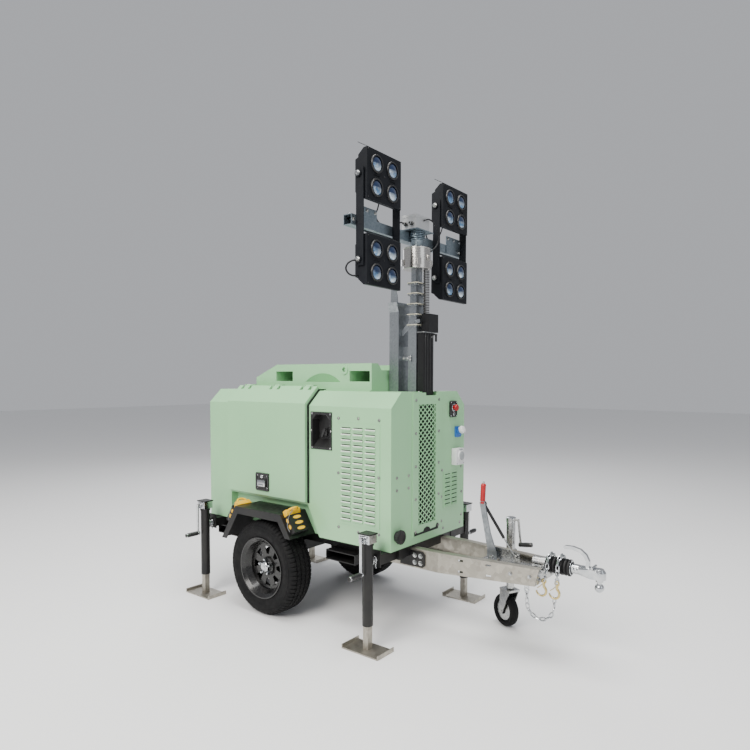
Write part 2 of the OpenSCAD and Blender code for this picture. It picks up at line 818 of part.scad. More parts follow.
module tyre() {
    color(rubber) translate([0, wheel_y, hub_z]) rotate([-90, 0, 0])
        rotate_extrude($fn = 96) tyre_section();
}

module tyre_left() {
    tyre();
}

module tyre_right() {
    mirror([0, 1, 0]) tyre();
}

disc_off = 22;
disc_t = 5;
hub_r = 62;

// Wheel rim with its disc, hub and brake drum, the outside towards +Y
module rim() {
    w = tyre_w / 2;
    translate([0, wheel_y, hub_z]) rotate([-90, 0, 0]) difference() {
        union() {
            rotate_extrude($fn = 96) polygon([
                [tyre_in_r, -w + 26], [rim_r + 8, -w + 10], [rim_r + 8, -w + 6], [rim_r, -w + 6],
                [tyre_in_r - 5, -w + 24], [tyre_in_r - 26, -w + 70], [tyre_in_r - 26, w - 60],
                [tyre_in_r - 5, w - 24], [rim_r, w - 6], [rim_r + 8, w - 6], [rim_r + 8, w - 10],
                [tyre_in_r, w - 26], [tyre_in_r, w - 38], [tyre_in_r - 21, w - 62],
                [tyre_in_r - 21, -w + 72], [tyre_in_r, -w + 38]
            ]);
            translate([0, 0, disc_off]) cylinder(r = tyre_in_r - 24, h = disc_t);
            translate([0, 0, -60]) cylinder(r = 34, h = 118);
            translate([0, 0, -80]) cylinder(r = 125, h = 45);
            translate([0, 0, disc_off]) cylinder(r = hub_r, h = 16);
        }
        for (i = [0:rim_windows - 1]) rotate([0, 0, 360 / rim_windows * i])
            translate([0, 0, disc_off - 1]) linear_extrude(disc_t + 2)
                polygon([[82, -10], [132, -27], [132, 27], [82, 10]]);
        translate([0, 0, -90]) cylinder(r = spindle_r + pin_fit, h = 90 + 31);
        translate([0, 0, -81]) difference() {
            cylinder(r = 119, h = 38);
            cylinder(r = 40, h = 38);
        }
    }
}

module rim_left() {
    color(black) rim();
}

module rim_right() {
    color(black) mirror([0, 1, 0]) rim();
}

guard_x0 = -397;
guard_x1 = 294;
guard_z_rear = 461;
guard_z_front = 553;
guard_y1 = wheel_y + tyre_w / 2;

// Side view of the mudguard's sheet
module guard_outline(t) {
    polygon([
        [guard_x0, guard_z_rear], [guard_top_x0, guard_z], [guard_top_x1, guard_z],
        [guard_x1, guard_z_front], [guard_x1 - t, guard_z_front], [guard_top_x1 - t / 2, guard_z - t],
        [guard_top_x0 + t / 2, guard_z - t], [guard_x0 + t, guard_z_rear]
    ]);
}

slope_front = atan2(guard_z - guard_z_front, guard_x1 - guard_top_x1);
slope_rear = atan2(guard_z - guard_z_rear, guard_top_x0 - guard_x0);
holder_l = 120;
holder_w = 130;
holder_h = 46;
holder_up = 42;
holder_y = guard_y1 - 20 - holder_w / 2;

// Places a holder drawn on a flat sheet on the front slope, then on the rear slope
module on_slopes() {
    translate([(guard_top_x1 + guard_x1) / 2, holder_y, (guard_z + guard_z_front) / 2])
        rotate([0, slope_front, 0]) children();
    translate([(guard_top_x0 + guard_x0) / 2, holder_y, (guard_z + guard_z_rear) / 2])
        rotate([0, 180 - slope_rear, 0]) mirror([0, 0, 1]) translate([-holder_up, 0, 0]) children();
}

// Open-topped holder for a wheel chock
module chock_holder() {
    difference() {
        translate([-holder_l / 2, -holder_w / 2, -1]) cube([holder_l, holder_w, holder_h + 1]);
        translate([-holder_l / 2 - 1, -holder_w / 2 + 3, -2]) cube([holder_l - 2, holder_w - 6,
            holder_h - 1]);
    }
}

module chock() {
    translate([0, holder_w / 2 - 8, 0]) rotate([90, 0, 0]) linear_extrude(holder_w - 16) polygon([
        [-holder_l / 2 - 42, 0.3], [holder_l / 2 - 12, 0.3], [-holder_l / 2 - 30, holder_h - 6],
        [-holder_l / 2 - 42, holder_h - 6]
    ]);
}

module mudguards() {
    color(black) both_sides() {
        along_y(arch_y, guard_y1) guard_outline(guard_t);
        along_y(guard_y1 - guard_t, guard_y1) guard_outline(guard_lip);
        on_slopes() chock_holder();
    }
}

module chocks() {
    color(yellow) both_sides() on_slopes() chock();
}

// Top view of a left channel between two distances inwards from its outer face
module channel_top(d0, d1) {
    xs = [draw_x0 - 1, draw_bend_x, draw_x1 + 1];
    polygon(concat([for (x = xs) [x, draw_y(x) - d0]], [for (i = [2:-1:0]) [xs[i], draw_y(xs[i]) - d1]]));
}

// Side view of a channel, its edges moved inwards by w
module channel_side(w) {
    front = 22;
    polygon([
        [draw_x0 - w, draw_z0(draw_x0) + w], [draw_bend_x, draw_z0(draw_bend_x) + w],
        [draw_x1 - front + 2 * w, draw_z0(draw_x1) + w], [draw_x1 + 2 * w, draw_z1 - w], [draw_x0 - w,
            draw_z1 - w]
    ]);
}

slot_xs = [1303, 1478];
slot_l = 34;
slot_h = 12;

module drawbar_beams() {
    color(zinc) both_sides() difference() {
        intersection() {
            along_y(0, draw_y0 + 1) channel_side(0);
            translate([0, 0, draw_z1 - draw_h - 1]) linear_extrude(draw_h + 2) channel_top(0, draw_flange);
        }
        intersection() {
            along_y(0, draw_y0 + 1) channel_side(draw_wall);
            translate([0, 0, draw_z1 - draw_h - 1]) linear_extrude(draw_h + 2) channel_top(draw_wall,
                draw_flange + 1);
        }
        for (x = slot_xs, z = [draw_z1 - 18 - slot_h, draw_z0(x) + 18])
            span([x - slot_l / 2, draw_y(x) - 14, z], [x + slot_l / 2, draw_y(x) + 14, z + slot_h]);
    }
}

lever_t = 8;
lever_y0 = -12;
lever_pin_r = 8;
lever_rod_r = 5;
cheek_y = 24;
cheek_t = 6;
strut_y = 10;
strut_z = 532;
strut_pin_r = 6;
rod_drift = 7;
plate_x0 = canopy_front_x - 90;
plate_x1 = 1065;
plate_t = 8;
floor_x0 = 1372;
floor_x1 = 1758;
floor_z = 500;

// Bolted side plates of the drawbar
module drawbar_plates() {
    z0 = draw_z1 - draw_h + 10;
    z1 = draw_z1 - 14;
    color(black) both_sides() difference() {
        along_y(draw_y0 + 0.2, draw_y0 + plate_t) polygon([
            [plate_x0, z0], [plate_x1 - 16, z0], [plate_x1, z0 + 16], [plate_x1, z1 - 16],
                [plate_x1 - 16, z1],
            [plate_x0, z1]
        ]);
        for (x = [canopy_front_x + 22, plate_x1 - 30], z = [z0 + 26, z1 - 26])
            translate([x, draw_y0 + 30, z]) rotate([90, 0, 0]) cylinder(r = 6.5, h = 60);
    }
}

// The overrun device's floor, its brackets and the flange that carries the shaft
module coupling_housing() {
    cheek_x0 = lever_x - 34;
    cheek_x1 = strut_x + 24;
    y0 = draw_y(floor_x0) - draw_wall - 0.3;
    y1 = draw_y(floor_x1) - draw_wall - 0.3;
    color(zinc) {
        difference() {
            translate([0, 0, floor_z]) linear_extrude(6) polygon([
                [floor_x0, -y0], [floor_x1, -y1], [floor_x1, y1], [floor_x0, y0]
            ]);
            span([lever_x - 43, lever_y0 - 5, floor_z - 1], [lever_x + 43, cheek_y - 1, floor_z + 7]);
        }
        along_y(cheek_y, cheek_y + cheek_t) polygon([
            [cheek_x0, floor_z + 1], [cheek_x1, floor_z + 1], [cheek_x1, strut_z + 18], [cheek_x1 - 14,
                strut_z + 26],
            [lever_x + 40, lever_z + 58], [cheek_x0 + 16, lever_z + 58], [cheek_x0, lever_z + 40]
        ]);
        span([cheek_x0, cheek_y + 1, floor_z + 1], [cheek_x1, cheek_y + 32, floor_z + 12]);
        translate([lever_x, cheek_y + 1, lever_z]) rotate([90, 0, 0]) cylinder(r = lever_pin_r,
            h = cheek_y + 4 - lever_y0);
        translate([strut_x, cheek_y + 1, strut_z]) rotate([90, 0, 0]) cylinder(r = strut_pin_r,
            h = cheek_y + 7 - strut_y);
        span([floor_x1 - 10, -y1, draw_z0(floor_x1) + draw_wall + 2], [floor_x1, y1,
            draw_z1 - draw_wall - 1]);
        translate([floor_x1 - 12, 0, shaft_z]) rotate([0, 90, 0]) cylinder(r = 36, h = bellows_x0
            - floor_x1 + 11.7);
        translate([floor_x1 - 70, 0, shaft_z]) rotate([0, 90, 0]) cylinder(r = 33, h = 64);
    }
}

bellows_x0 = 1764;
bellows_x1 = 1912;

// The bellows: a stack of rounded folds about the overrun shaft
module coupling_bellows() {
    n = 7;
    p = (bellows_x1 - bellows_x0) / n;
    color(rubber) translate([bellows_x0, 0, shaft_z]) rotate([0, 90, 0]) rotate_extrude() polygon(concat(
        [[24, 0]],
        [for (i = [0:n - 1]) each [[36, i * p], [46, (i + 0.3) * p], [46, (i + 0.7) * p]]],
        [[36, n * p], [24, n * p]]
    ));
}

cup_x = nose_x - 34;
cup_r = 34;

// Coupling head: neck, pressed body with its ball cup, handle, and the ball that closes it
module coupling_head() {
    color(zinc) {
        translate([bellows_x0 + 3, 0, shaft_z]) rotate([0, 90, 0]) cylinder(r = 23.7, h = bellows_x1
            - bellows_x0);
        translate([bellows_x1, 0, shaft_z]) rotate([0, 90, 0]) cylinder(r = 27, h = 40);
        hull() {
            translate([bellows_x1 + 30, 0, shaft_z]) rotate([0, 90, 0]) cylinder(r = 25, h = 10, $fn = 32);
            translate([cup_x - 40, -33, shaft_z - 30]) cube([20, 66, 50]);
            translate([cup_x, 0, shaft_z - 30]) cylinder(r = cup_r, h = 36, $fn = 32);
            translate([cup_x, 0, shaft_z - 2]) cylinder(r = 22, h = 26, $fn = 32);
        }
        translate([cup_x, 0, shaft_z - 58]) cylinder(r = 12, h = 30);
        translate([cup_x, 0, shaft_z - 44]) cylinder(r = 20, h = 15);
        translate([cup_x, 0, shaft_z - 78]) sphere(r = 25);
        coupling_handle();
    }
}

// Curved hand lever over the coupling head, as three thick arcs of one flat bar
module coupling_handle() {
    pts = [[1998, 560], [1999, 592], [1984, 622], [1955, 643], [1915, 652], [1872, 650]];
    for (i = [0:len(pts) - 2]) hull() for (q = [pts[i], pts[i + 1]])
        translate([q[0], 11, q[1]]) rotate([90, 0, 0]) cylinder(r = 9, h = 22, $fn = 24);
}

chain_wire = 4;
link_l = 40;
link_w = 25;
chain_pitch = 30;

// One chain link lying flat in the plane of X and Y, drawn along X
module chain_link() {
    difference() {
        translate([0, 0, -chain_wire]) linear_extrude(2 * chain_wire) link_outline(link_w / 2);
        translate([0, 0, -chain_wire - 1]) linear_extrude(2 * chain_wire + 2) link_outline(link_w / 2
            - 2 * chain_wire);
    }
}

// Outline of a link whose round ends have the radius r
module link_outline(r) {
    half = (link_l - link_w) / 2;
    square([2 * half, 2 * r], center = true);
    for (s = [-1, 1]) translate([s * half, 0]) circle(r = r);
}

// Links along a path in space, each turned by a quarter turn from the one before
module chain_along(path) {
    for (i = [0:len(path) - 2]) {
        a = path[i];
        b = path[i + 1];
        d = b - a;
        translate((a + b) / 2) rotate([0, -atan2(d[2], norm([d[0], d[1]])), atan2(d[1], d[0])])
            rotate([i % 2 == 0 ? 0 : 90, 0, 0]) chain_link();
    }
}

strap_r = sqrt(pow(46.4 + link_w / 2, 2) + pow(chain_pitch / 2, 2));
hook_xs = [1762, 1838];
hook_y = -62;
hook_z = 402;
loop_r = 75;
lug_x = 1690;
lug_y = -100;

// Points of a chain over the bellows at x, from the near side over the top to the far side
function strap_path(x) = let (n = 7, a = 2 * asin(chain_pitch / 2 / strap_r))
    [for (i = [0:n]) [x, -strap_r * cos(i * a - 12), shaft_z + strap_r * sin(i * a - 12)]];

// Points from the near end of a chain over the bellows down to a hook's eye
function drop_path(x, hx) = let (a = strap_path(x)[0], b = [hx + 15, hook_y - 6, hook_z + 56])
    [for (i = [0:3]) a + (b - a) * i / 3];

// Points of the loop that hangs between the drawbar's lug and the front hook
function loop_path() = let (d = 2 * loop_r * sin(11.25), n = 13, zc = 320)
    [for (i = [0:n]) let (a = (i - 3) * 22.5, y = lug_y + (hook_y - 6 - lug_y) * i / n)
        i < 3 ? [lug_x, y, zc + (3 - i) * d] :
        i > 11 ? [lug_x + 2 * loop_r, y, zc + (i - 11) * d] :
        [lug_x + loop_r - loop_r * cos(a), y, zc - loop_r * sin(a)]];

module safety_chains() {
    lug_z = draw_z0(lug_x) - 17;
    color(chrome) {
        for (i = [0, 1]) {
            x = i == 0 ? 1790 : 1850;
            chain_along(strap_path(x));
            chain_along(drop_path(x, hook_xs[i]));
        }
        chain_along(loop_path());
        translate([lug_x, lug_y - 4, lug_z]) along_y(0, 8) difference() {
            union() {
                circle(r = 16);
                translate([-16, 0]) square([32, 16.7]);
            }
            circle(r = 7);
        }
    }
    color([0.80, 0.65, 0.25]) for (x = hook_xs) chain_hook(x);
}

// A forged hook that hangs in the plane of X and Z from its eye
module chain_hook(x) {
    translate([x, hook_y, hook_z]) rotate([90, 0, 0]) linear_extrude(12) {
        difference() {
            circle(r = 36);
            circle(r = 22);
            translate([-40, 6]) square([36, 40]);
        }
        translate([8, 24]) square([14, 28]);
        translate([15, 56]) difference() {
            circle(r = 15);
            circle(r = 7);
        }
    }
}

flare_w = 22;
flare_h = 60;

// Front view of the column, its walls moved inwards by t
module column_outline(t) {
    w = column_w / 2 - t;
    z0 = t > 0 ? mast_z0 + 10 : mast_z0;
    z1 = t > 0 ? column_z1 + 1 : column_z1;
    polygon([
        [-w, z0], [-w, column_z1 - flare_h], [-w - flare_w, z1], [w + flare_w, z1], [w,
            column_z1 - flare_h], [w, z0]
    ]);
}

module mast_column() {
    color(zinc) {
        difference() {
            along_x(column_x0, column_x0 + column_d) column_outline(0);
            along_x(column_x0 + 5, column_x0 + column_d - 5) column_outline(5);
        }
        along_y(1 - column_w / 2, 5 - column_w / 2) polygon([
            [column_x0 + 4, column_z1 - flare_h - 20], [column_x0 + column_d - 4, column_z1 - flare_h - 20],
            [column_x0 + column_d - 10, column_z1 + 40], [column_x0 + 34, column_z1 + 130],
            [column_x0 + 14, column_z1 + 126]
        ]);
        for (z = [700, 1300, 1720])
            span([column_x0 + column_d - 0.5, -30, z], [mast_x - mast_dx / 2, 30, z + 60]);
    }
}

// One telescopic tube with its collar at the top
module mast_tube(i, z0) {
    z1 = section_z1(i);
    translate([mast_x, 0, 0]) {
        translate([0, 0, z0]) box_tube(section_dx(i), section_dy(i), mast_wall, z1 - z0);
        difference() {
            translate([0, 0, z1 - collar_h]) block(mast_dx + 6, mast_dy + 6, collar_h);
            translate([0, 0, z1 - collar_h - 1])
                block(section_dx(i + 1) + 2 * mast_fit, section_dy(i + 1) + 2 * mast_fit, collar_h + 2);
        }
    }
}

module mast_outer() {
    color(zinc) {
        mast_tube(0, mast_z0);
    }
}

module mast_section(i) {
    color(zinc) mast_tube(i, section_z0);
}

module mast_section_1() {
    mast_section(1);
}

module mast_section_2() {
    mast_section(2);
}

module mast_section_3() {
    mast_section(3);
}

module mast_section_4() {
    mast_section(4);
}

module mast_section_5() {
    color(zinc) translate([mast_x, 0, section_z0])
        box_tube(section_dx(mast_n), section_dy(mast_n), mast_wall, can_z0 - section_z0);
}

module mast_can() {
    color(chrome) translate([mast_x, 0, can_z0]) difference() {
        union() {
            cylinder(r = can_r, h = can_h);
            for (a = [45:90:315]) rotate([0, 0, a]) translate([can_r - 4, -12, 20]) cube([16, 24, 40]);
        }
        translate([0, 0, can_h - 60]) cylinder(r = neck_r + pin_fit, h = 61);
    }
}

neck_rib = 11;
head_plate_t = 6;
head_plate_z = bar_z + bar_side / 2 + 6;

// The neck's ribbed casting from the can up to the head plate
module neck_casting() {
    z1 = head_plate_z + 1;
    n = 5;
    rotate_extrude() polygon(concat(
        [[0, can_z1 + 2], [33, can_z1 + 2], [33, can_z1 + 12]],
        [for (i = [0:n - 1]) each [
            [45, z1 - (n - i) * neck_rib], [53, z1 - (n - i) * neck_rib + 3],
            [53, z1 - (n - i) * neck_rib + 7], [47, z1 - (n - i) * neck_rib + 9]
        ]],
        [[47, z1], [0, z1]]
    ));
}

module crossbar() {
    y_in = lamp_y - 10;
    y_out = lamp_y + lamp_bar_off - 0.3;
    color(zinc) {
        difference() {
            union() {
                translate([bar_x, -bar_len / 2, bar_z]) rotate([-90, 0, 0]) block(bar_side, bar_side,
                    bar_len);
                translate([mast_x, 0, 0]) neck_casting();
            }
            for (s = [0, 1]) mirror([0, s, 0])
                span([bar_x - bar_side / 2 + 4, 80, bar_z - bar_side / 2 + 4],
                     [bar_x + bar_side / 2 - 4, bar_len / 2 + 1, bar_z + bar_side / 2 - 4]);
        }
        translate([mast_x, 0, can_z1 - 50]) cylinder(r = neck_r, h = 60);
        span([bar_x - bar_side / 2 - 10, -90, head_plate_z], [mast_x + 66, 90, head_plate_z + head_plate_t]);
        span([bar_x - bar_side / 2, -70, bar_z + bar_side / 2 - 1], [bar_x, 70, head_plate_z + 1]);
        both_sides() span([bar_x + bar_side / 2 - 1, y_in, bar_z - bar_side / 2],
                          [bar_x + bar_side / 2 + 5, y_out, bar_z + bar_side / 2 + 60]);
    }
}

module lamp_bars() {
    color(black) for (s = [-1, 1], o = [-1, 1]) {
        y0 = s * lamp_y + o * (lamp_bar_off + lamp_bar_t / 2);
        span([lamp_x - 20, y0 - lamp_bar_t / 2, bar_z - lamp_down - 34],
             [lamp_x + 34, y0 + lamp_bar_t / 2, bar_z + lamp_up + 34]);
        for (z = [lamp_up, -lamp_down]) translate([lamp_x, y0, bar_z + z]) {
            rotate([90 * o, 0, 0]) cylinder(r = lamp_pin_r, h = 26);
            rotate([-90 * o, 0, 0]) cylinder(r = 22, h = 12);
        }
    }
}

box_dx = 106;
box_dy = 150;
box_h = 90;

module junction_box() {
    z0 = head_plate_z + head_plate_t + 0.3;
    color([0.85, 0.86, 0.86]) translate([bar_x + 46, 0, z0]) {
        block(box_dx, box_dy, box_h - 14);
        translate([0, 0, box_h - 15]) block(box_dx + 6, box_dy + 6, 15);
        for (s = [-1, 1], x = [-24, 24]) translate([x, s * (box_dy / 2 - 1), 34]) rotate([-90 * s, 0, 0]) {
            cylinder(r = 13, h = 9);
            cylinder(r = 9, h = 30);
        }
    }
}

visor_l = 70;
visor_up = 40;

// A floodlight about its tilt axis, its light towards +X
module lamp() {
    w = lamp_w / 2;
    h = lamp_h / 2;
    d = lamp_d / 2;
    difference() {
        union() {
            along_y(-w, w) polygon([
                [d - 26, -h], [d, -h], [d, h], [d - 26, h], [-d + 34, h - 34], [-d + 34, -h + 34]
            ]);
            for (i = [0:8]) along_y(-w + 14 + i * (lamp_w - 34) / 8, -w + 20 + i * (lamp_w - 34) / 8)
                polygon([[-d + 35, -h + 36], [-d, -h + 50], [-d, h - 50], [-d + 35, h - 36]]);
            along_y(-w, w) polygon([[d, h - 1], [d, h + 2], [d - visor_l, h + visor_up], [d - visor_l,
                h + visor_up - 3]]);
            for (y = [-0.23, 0.23], z = [-0.235, 0.235])
                translate([d - 1, y * lamp_w, z * lamp_h]) rotate([0, 90, 0]) cylinder(r = lens_r + 9, h = 9);
        }
        for (y = [-0.23, 0.23], z = [-0.235, 0.235])
            translate([d + 1, y * lamp_w, z * lamp_h]) rotate([0, 90, 0]) cylinder(r = lens_r, h = 9);
        for (y = [-0.23, 0.23]) span([d - 4, y * lamp_w - 26, -4], [d + 1, y * lamp_w + 26, 4]);
        for (s = [-1, 1]) translate([0, s * (w + 1), 0]) rotate([90 * s, 0, 0])
            cylinder(r = lamp_pin_r + pin_fit, h = 25);
    }
    for (y = [-0.23, 0.23], z = [-0.235, 0.235])
        translate([d + 0.5, y * lamp_w, z * lamp_h]) rotate([0, 90, 0])
            rotate_extrude() intersection() {
                translate([0, -58]) circle(r = 72, $fn = 96);
                square([lens_r - 2, 20]);
            }
}

module place_lamp(side, z) {
    color(black) translate([lamp_x, side * lamp_y, bar_z + z]) lamp();
}

module lamp_upper_left() {
    place_lamp(1, lamp_up);
}

module lamp_upper_right() {
    place_lamp(-1, lamp_up);
}

module lamp_lower_left() {
    place_lamp(1, -lamp_down);
}

module lamp_lower_right() {
    place_lamp(-1, -lamp_down);
}

module cable_duct() {
    color(black) difference() {
        union() {
            span([duct_x0, -duct_w / 2, duct_z0], [duct_x0 + duct_d, duct_w / 2, duct_z1]);
            for (z = [800, 1300, 1780])
                span([mast_x + mast_dx / 2, -24, z], [duct_x0 + 1, 24, z + 50]);
            span([duct_x0, -duct_w / 2 + 40, duct_z1 - 1], [duct_x0 + duct_d + 12, duct_w / 2 + 36,
                duct_cap_z1]);
        }
        span([duct_x0 + 5, -duct_w / 2 + 45, duct_z1 - 200], [duct_x0 + duct_d - 5, duct_w / 2 - 5,
            duct_cap_z1 + 1]);
    }
}

// Outer tube, gear head, swivel ring and crank of a jack on the left, about its own axis
module jack_tube() {
    difference() {
        union() {
            translate([0, 0, jack_tube_z0]) cylinder(r = jack_r, h = jack_top_z - jack_tube_z0 - 30);
            translate([0, 0, jack_top_z - 72]) cylinder(r = jack_r + 4, h = 30);
            translate([0, 0, jack_top_z - 56]) block(2 * jack_r + 14, 2 * jack_r + 6, 50);
            translate([0, 0, jack_top_z - 7]) block(2 * jack_r + 24, 2 * jack_r + 14, 7);
            translate([0, jack_r - 6, jack_top_z - 32]) rotate([-90, 0, 0]) cylinder(r = 18, h = 26);
            translate([0, outrig_y + 8 - jack_y, jack_pivot_z]) rotate([-90, 0, 0])
                cylinder(r = swivel_r + 6, h = jack_y - outrig_y - 18);
        }
        translate([0, 0, jack_tube_z0 - 1]) cylinder(r = jack_r - jack_wall, h = jack_top_z
            - jack_tube_z0 - 24);
        translate([0, outrig_y + 7 - jack_y, jack_pivot_z]) rotate([-90, 0, 0])
            cylinder(r = swivel_r + pin_fit, h = swivel_y1 - outrig_y - 7);
    }
    translate([0, jack_r, jack_top_z - 36]) rotate([-90, 0, 0]) cylinder(r = 8, h = crank_y - jack_y
        - jack_r);
    translate([0, crank_y - jack_y, jack_top_z - 24]) mirror([0, 0, 1]) cylinder(r = 7, h = 212);
    translate([0, crank_y - jack_y - 10, jack_top_z - 230]) rotate([-90, 0, 0]) cylinder(r = 13, h = 107);
}

// Inner leg with its foot plate
module jack_leg() {
    translate([-leg_side / 2, -leg_side / 2, 7]) cube([leg_side, leg_side, 533]);
    difference() {
        translate([-foot_len / 2, -foot_w / 2, 0]) cube([foot_len, foot_w, 26]);
        translate([-foot_len / 2 + 5, -foot_w / 2 - 1, 8]) cube([foot_len - 10, foot_w + 2, 30]);
    }
}

module jack_front_left() {
    color(black) translate([jack_front_x, jack_y, 0]) jack_tube();
}

module jack_front_right() {
    color(black) mirror([0, 1, 0]) translate([jack_front_x, jack_y, 0]) jack_tube();
}

module jack_rear_left() {
    color(black) translate([jack_rear_x, jack_y, 0]) jack_tube();
}

module jack_rear_right() {
    color(black) mirror([0, 1, 0]) translate([jack_rear_x, jack_y, 0]) jack_tube();
}

module leg_front_left() {
    color(zinc) translate([jack_front_x, jack_y, 0]) jack_leg();
}

module leg_front_right() {
    color(zinc) mirror([0, 1, 0]) translate([jack_front_x, jack_y, 0]) jack_leg();
}

module leg_rear_left() {
    color(zinc) translate([jack_rear_x, jack_y, 0]) jack_leg();
}

module leg_rear_right() {
    color(zinc) mirror([0, 1, 0]) translate([jack_rear_x, jack_y, 0]) jack_leg();
}

jockey_tube_z0 = 400;
jockey_tube_z1 = 690;
jockey_stem_r = jockey_r - 4;
jockey_clamp_z = 446;

// Clamp on the left channel with the jockey wheel's outer tube and its crank
module jockey_clamp() {
    color(zinc) {
        difference() {
            union() {
                translate([jockey_x, jockey_y, jockey_tube_z0]) cylinder(r = jockey_r,
                    h = jockey_tube_z1 - jockey_tube_z0);
                span([jockey_x - 24, draw_y(jockey_x) - 10, jockey_clamp_z], [jockey_x + 24, jockey_y,
                    jockey_clamp_z + 50]);
                translate([jockey_x, jockey_y, jockey_clamp_z - 8]) cylinder(r = jockey_r + 9, h = 66);
            }
            translate([jockey_x, jockey_y, jockey_tube_z0 - 1])
                cylinder(r = jockey_stem_r + 0.3, h = jockey_tube_z1 - jockey_tube_z0 - 11);
            translate([0, 0, jockey_clamp_z - 10]) linear_extrude(80) channel_top(-0.3, draw_flange);
        }
        translate([jockey_x, jockey_y, jockey_tube_z1 - 6]) cylinder(r = jockey_r + 3, h = 20);
        translate([jockey_x, jockey_y, jockey_tube_z1 + 4]) rotate([0, 90, 0]) cylinder(r = 6, h = 54);
        translate([jockey_x + 50, jockey_y, jockey_tube_z1 + 9]) rotate([0, 173, 0]) cylinder(r = 7, h = 166);
        translate([jockey_x + 60, jockey_y, jockey_tube_z1 - 150]) rotate([0, 82, 0]) cylinder(r = 13,
            h = 84);
    }
}

jockey_fork_top = 250;
jockey_axle_r = 8;
jockey_cheek_y = jockey_w / 2 + 8;

// Places a castor drawn straight behind its stem
module on_castor() {
    translate([jockey_x, jockey_y, 0]) rotate([0, 0, jockey_yaw]) children();
}

module jockey_stem() {
    color(zinc) translate([jockey_x, jockey_y, 0]) {
        translate([0, 0, jockey_fork_top + 4]) cylinder(r = jockey_stem_r, h = 280);
        translate([0, 0, jockey_fork_top - 24]) cylinder(r = 10, h = 34);
    }
}

module jockey_fork() {
    color(zinc) on_castor() {
        difference() {
            translate([-56, -jockey_w / 2 - 11, jockey_fork_top - 12]) cube([100, jockey_w + 22, 12]);
            translate([0, 0, jockey_fork_top - 20]) cylinder(r = 10 + pin_fit, h = 30);
        }
        for (s = [-1, 1]) translate([0, s * jockey_cheek_y, 0]) hull() {
            translate([-50, -3, jockey_fork_top - 12]) cube([88, 6, 10]);
            translate([-jockey_trail, 3, jockey_d / 2]) rotate([90, 0, 0]) cylinder(r = 16, h = 6, $fn = 32);
        }
        translate([-jockey_trail, jockey_cheek_y + 8, jockey_d / 2]) rotate([90, 0, 0])
            cylinder(r = jockey_axle_r, h = 2 * jockey_cheek_y + 16);
    }
}

module jockey_wheel() {
    r = jockey_d / 2;
    w = jockey_w / 2;
    color(rubber) on_castor() translate([-jockey_trail, 0, r]) rotate([-90, 0, 0]) difference() {
        rotate_extrude($fn = 64) polygon([
            [0, -w + 1], [22, -w + 1], [26, -w + 14], [r - 36, -w + 14], [r - 32, -w + 4], [r - 14, -w],
                [r - 3, -w + 12],
            [r, 0], [r - 3, w - 12], [r - 14, w], [r - 32, w - 4], [r - 36, w - 14], [26, w - 14], [22,
                w - 1], [0, w - 1]
        ]);
        translate([0, 0, -w - 1]) cylinder(r = jockey_axle_r + pin_fit, h = jockey_w + 2);
    }
}

// Pin of the strut on the lever
rod_x = lever_x - strut_arm * sin(lever_lean);
rod_z = lever_z + strut_arm * cos(lever_lean);
strut_len = sqrt(pow(rod_x - strut_x, 2) + pow(rod_z - strut_z, 2));
strut_tilt = atan2(rod_x - strut_x, rod_z - strut_z);
strut_body_r = 9;
strut_body_l = 226;
strut_rod_r = 4;
grip_r = 12.4;

// Places a drawing made in the lever's own frame, from its pivot up
module on_lever() {
    translate([lever_x, 0, lever_z]) rotate([0, -lever_lean, 0]) children();
}

// Places a drawing made along the strut from its foot up
module on_strut() {
    translate([strut_x, strut_y, strut_z]) rotate([0, strut_tilt, 0]) children();
}

// Handbrake lever: pressed plate with its boss, the strut's pin and the grip
module brake_lever() {
    color(black) on_lever() {
        difference() {
            union() {
                along_y(lever_y0, lever_y0 + lever_t) polygon([
                    [-26, -16], [30, -16], [37, 20], [20, 150], [17, lever_len], [-17, lever_len], [-19,
                        60], [-30, 20]
                ]);
                translate([0, cheek_y - 6, 0]) rotate([90, 0, 0]) cylinder(r = 20, h = cheek_y - 7
                    - lever_y0);
            }
            translate([0, 50, 0]) rotate([90, 0, 0]) cylinder(r = lever_pin_r + pin_fit, h = 100);
        }
        translate([0, strut_y + 5, strut_arm]) rotate([90, 0, 0]) cylinder(r = lever_rod_r,
            h = strut_y + 4 - lever_y0);
    }
    color(red) on_lever() translate([0, lever_y0 + lever_t / 2, lever_len - 8]) rotate([0, lever_lean + 3, 0])
        rotate_extrude() polygon(concat(
            [[0, 0]], [for (i = [0:4]) each [[grip_r - 2, i * grip_len / 5 + 1], [grip_r + 1,
                (i + 0.55) * grip_len / 5]]],
            [[grip_r - 5, grip_len + 6], [0, grip_len + 6]]
        ));
}

// Rod of the gas strut with its eye at the bracket
module strut_rod() {
    color(chrome) on_strut() difference() {
        union() {
            translate([0, 0, 8]) cylinder(r = strut_rod_r, h = strut_len - 44);
            translate([0, 4.5, 0]) rotate([90, 0, 0]) cylinder(r = strut_pin_r + 5, h = 9);
        }
        translate([0, 5, 0]) rotate([90, 0, 0]) cylinder(r = strut_pin_r + pin_fit, h = 10);
    }
}

// Cylinder of the gas strut with its eye at the lever
module strut_body() {
    eye_r = lever_rod_r + rod_drift;
    color(black) on_strut() difference() {
        union() {
            translate([0, 0, strut_len - strut_body_l - 6]) cylinder(r = strut_body_r, h = strut_body_l
                - eye_r + 4);
            translate([0, 4, strut_len]) rotate([90, 0, 0]) cylinder(r = eye_r + 5, h = 8);
        }
        translate([0, 5, strut_len]) rotate([90, 0, 0]) cylinder(r = eye_r, h = 10);
        translate([0, 0, strut_len - strut_body_l - 10]) cylinder(r = strut_rod_r + 0.3,
            h = strut_body_l - eye_r - 8);
    }
}

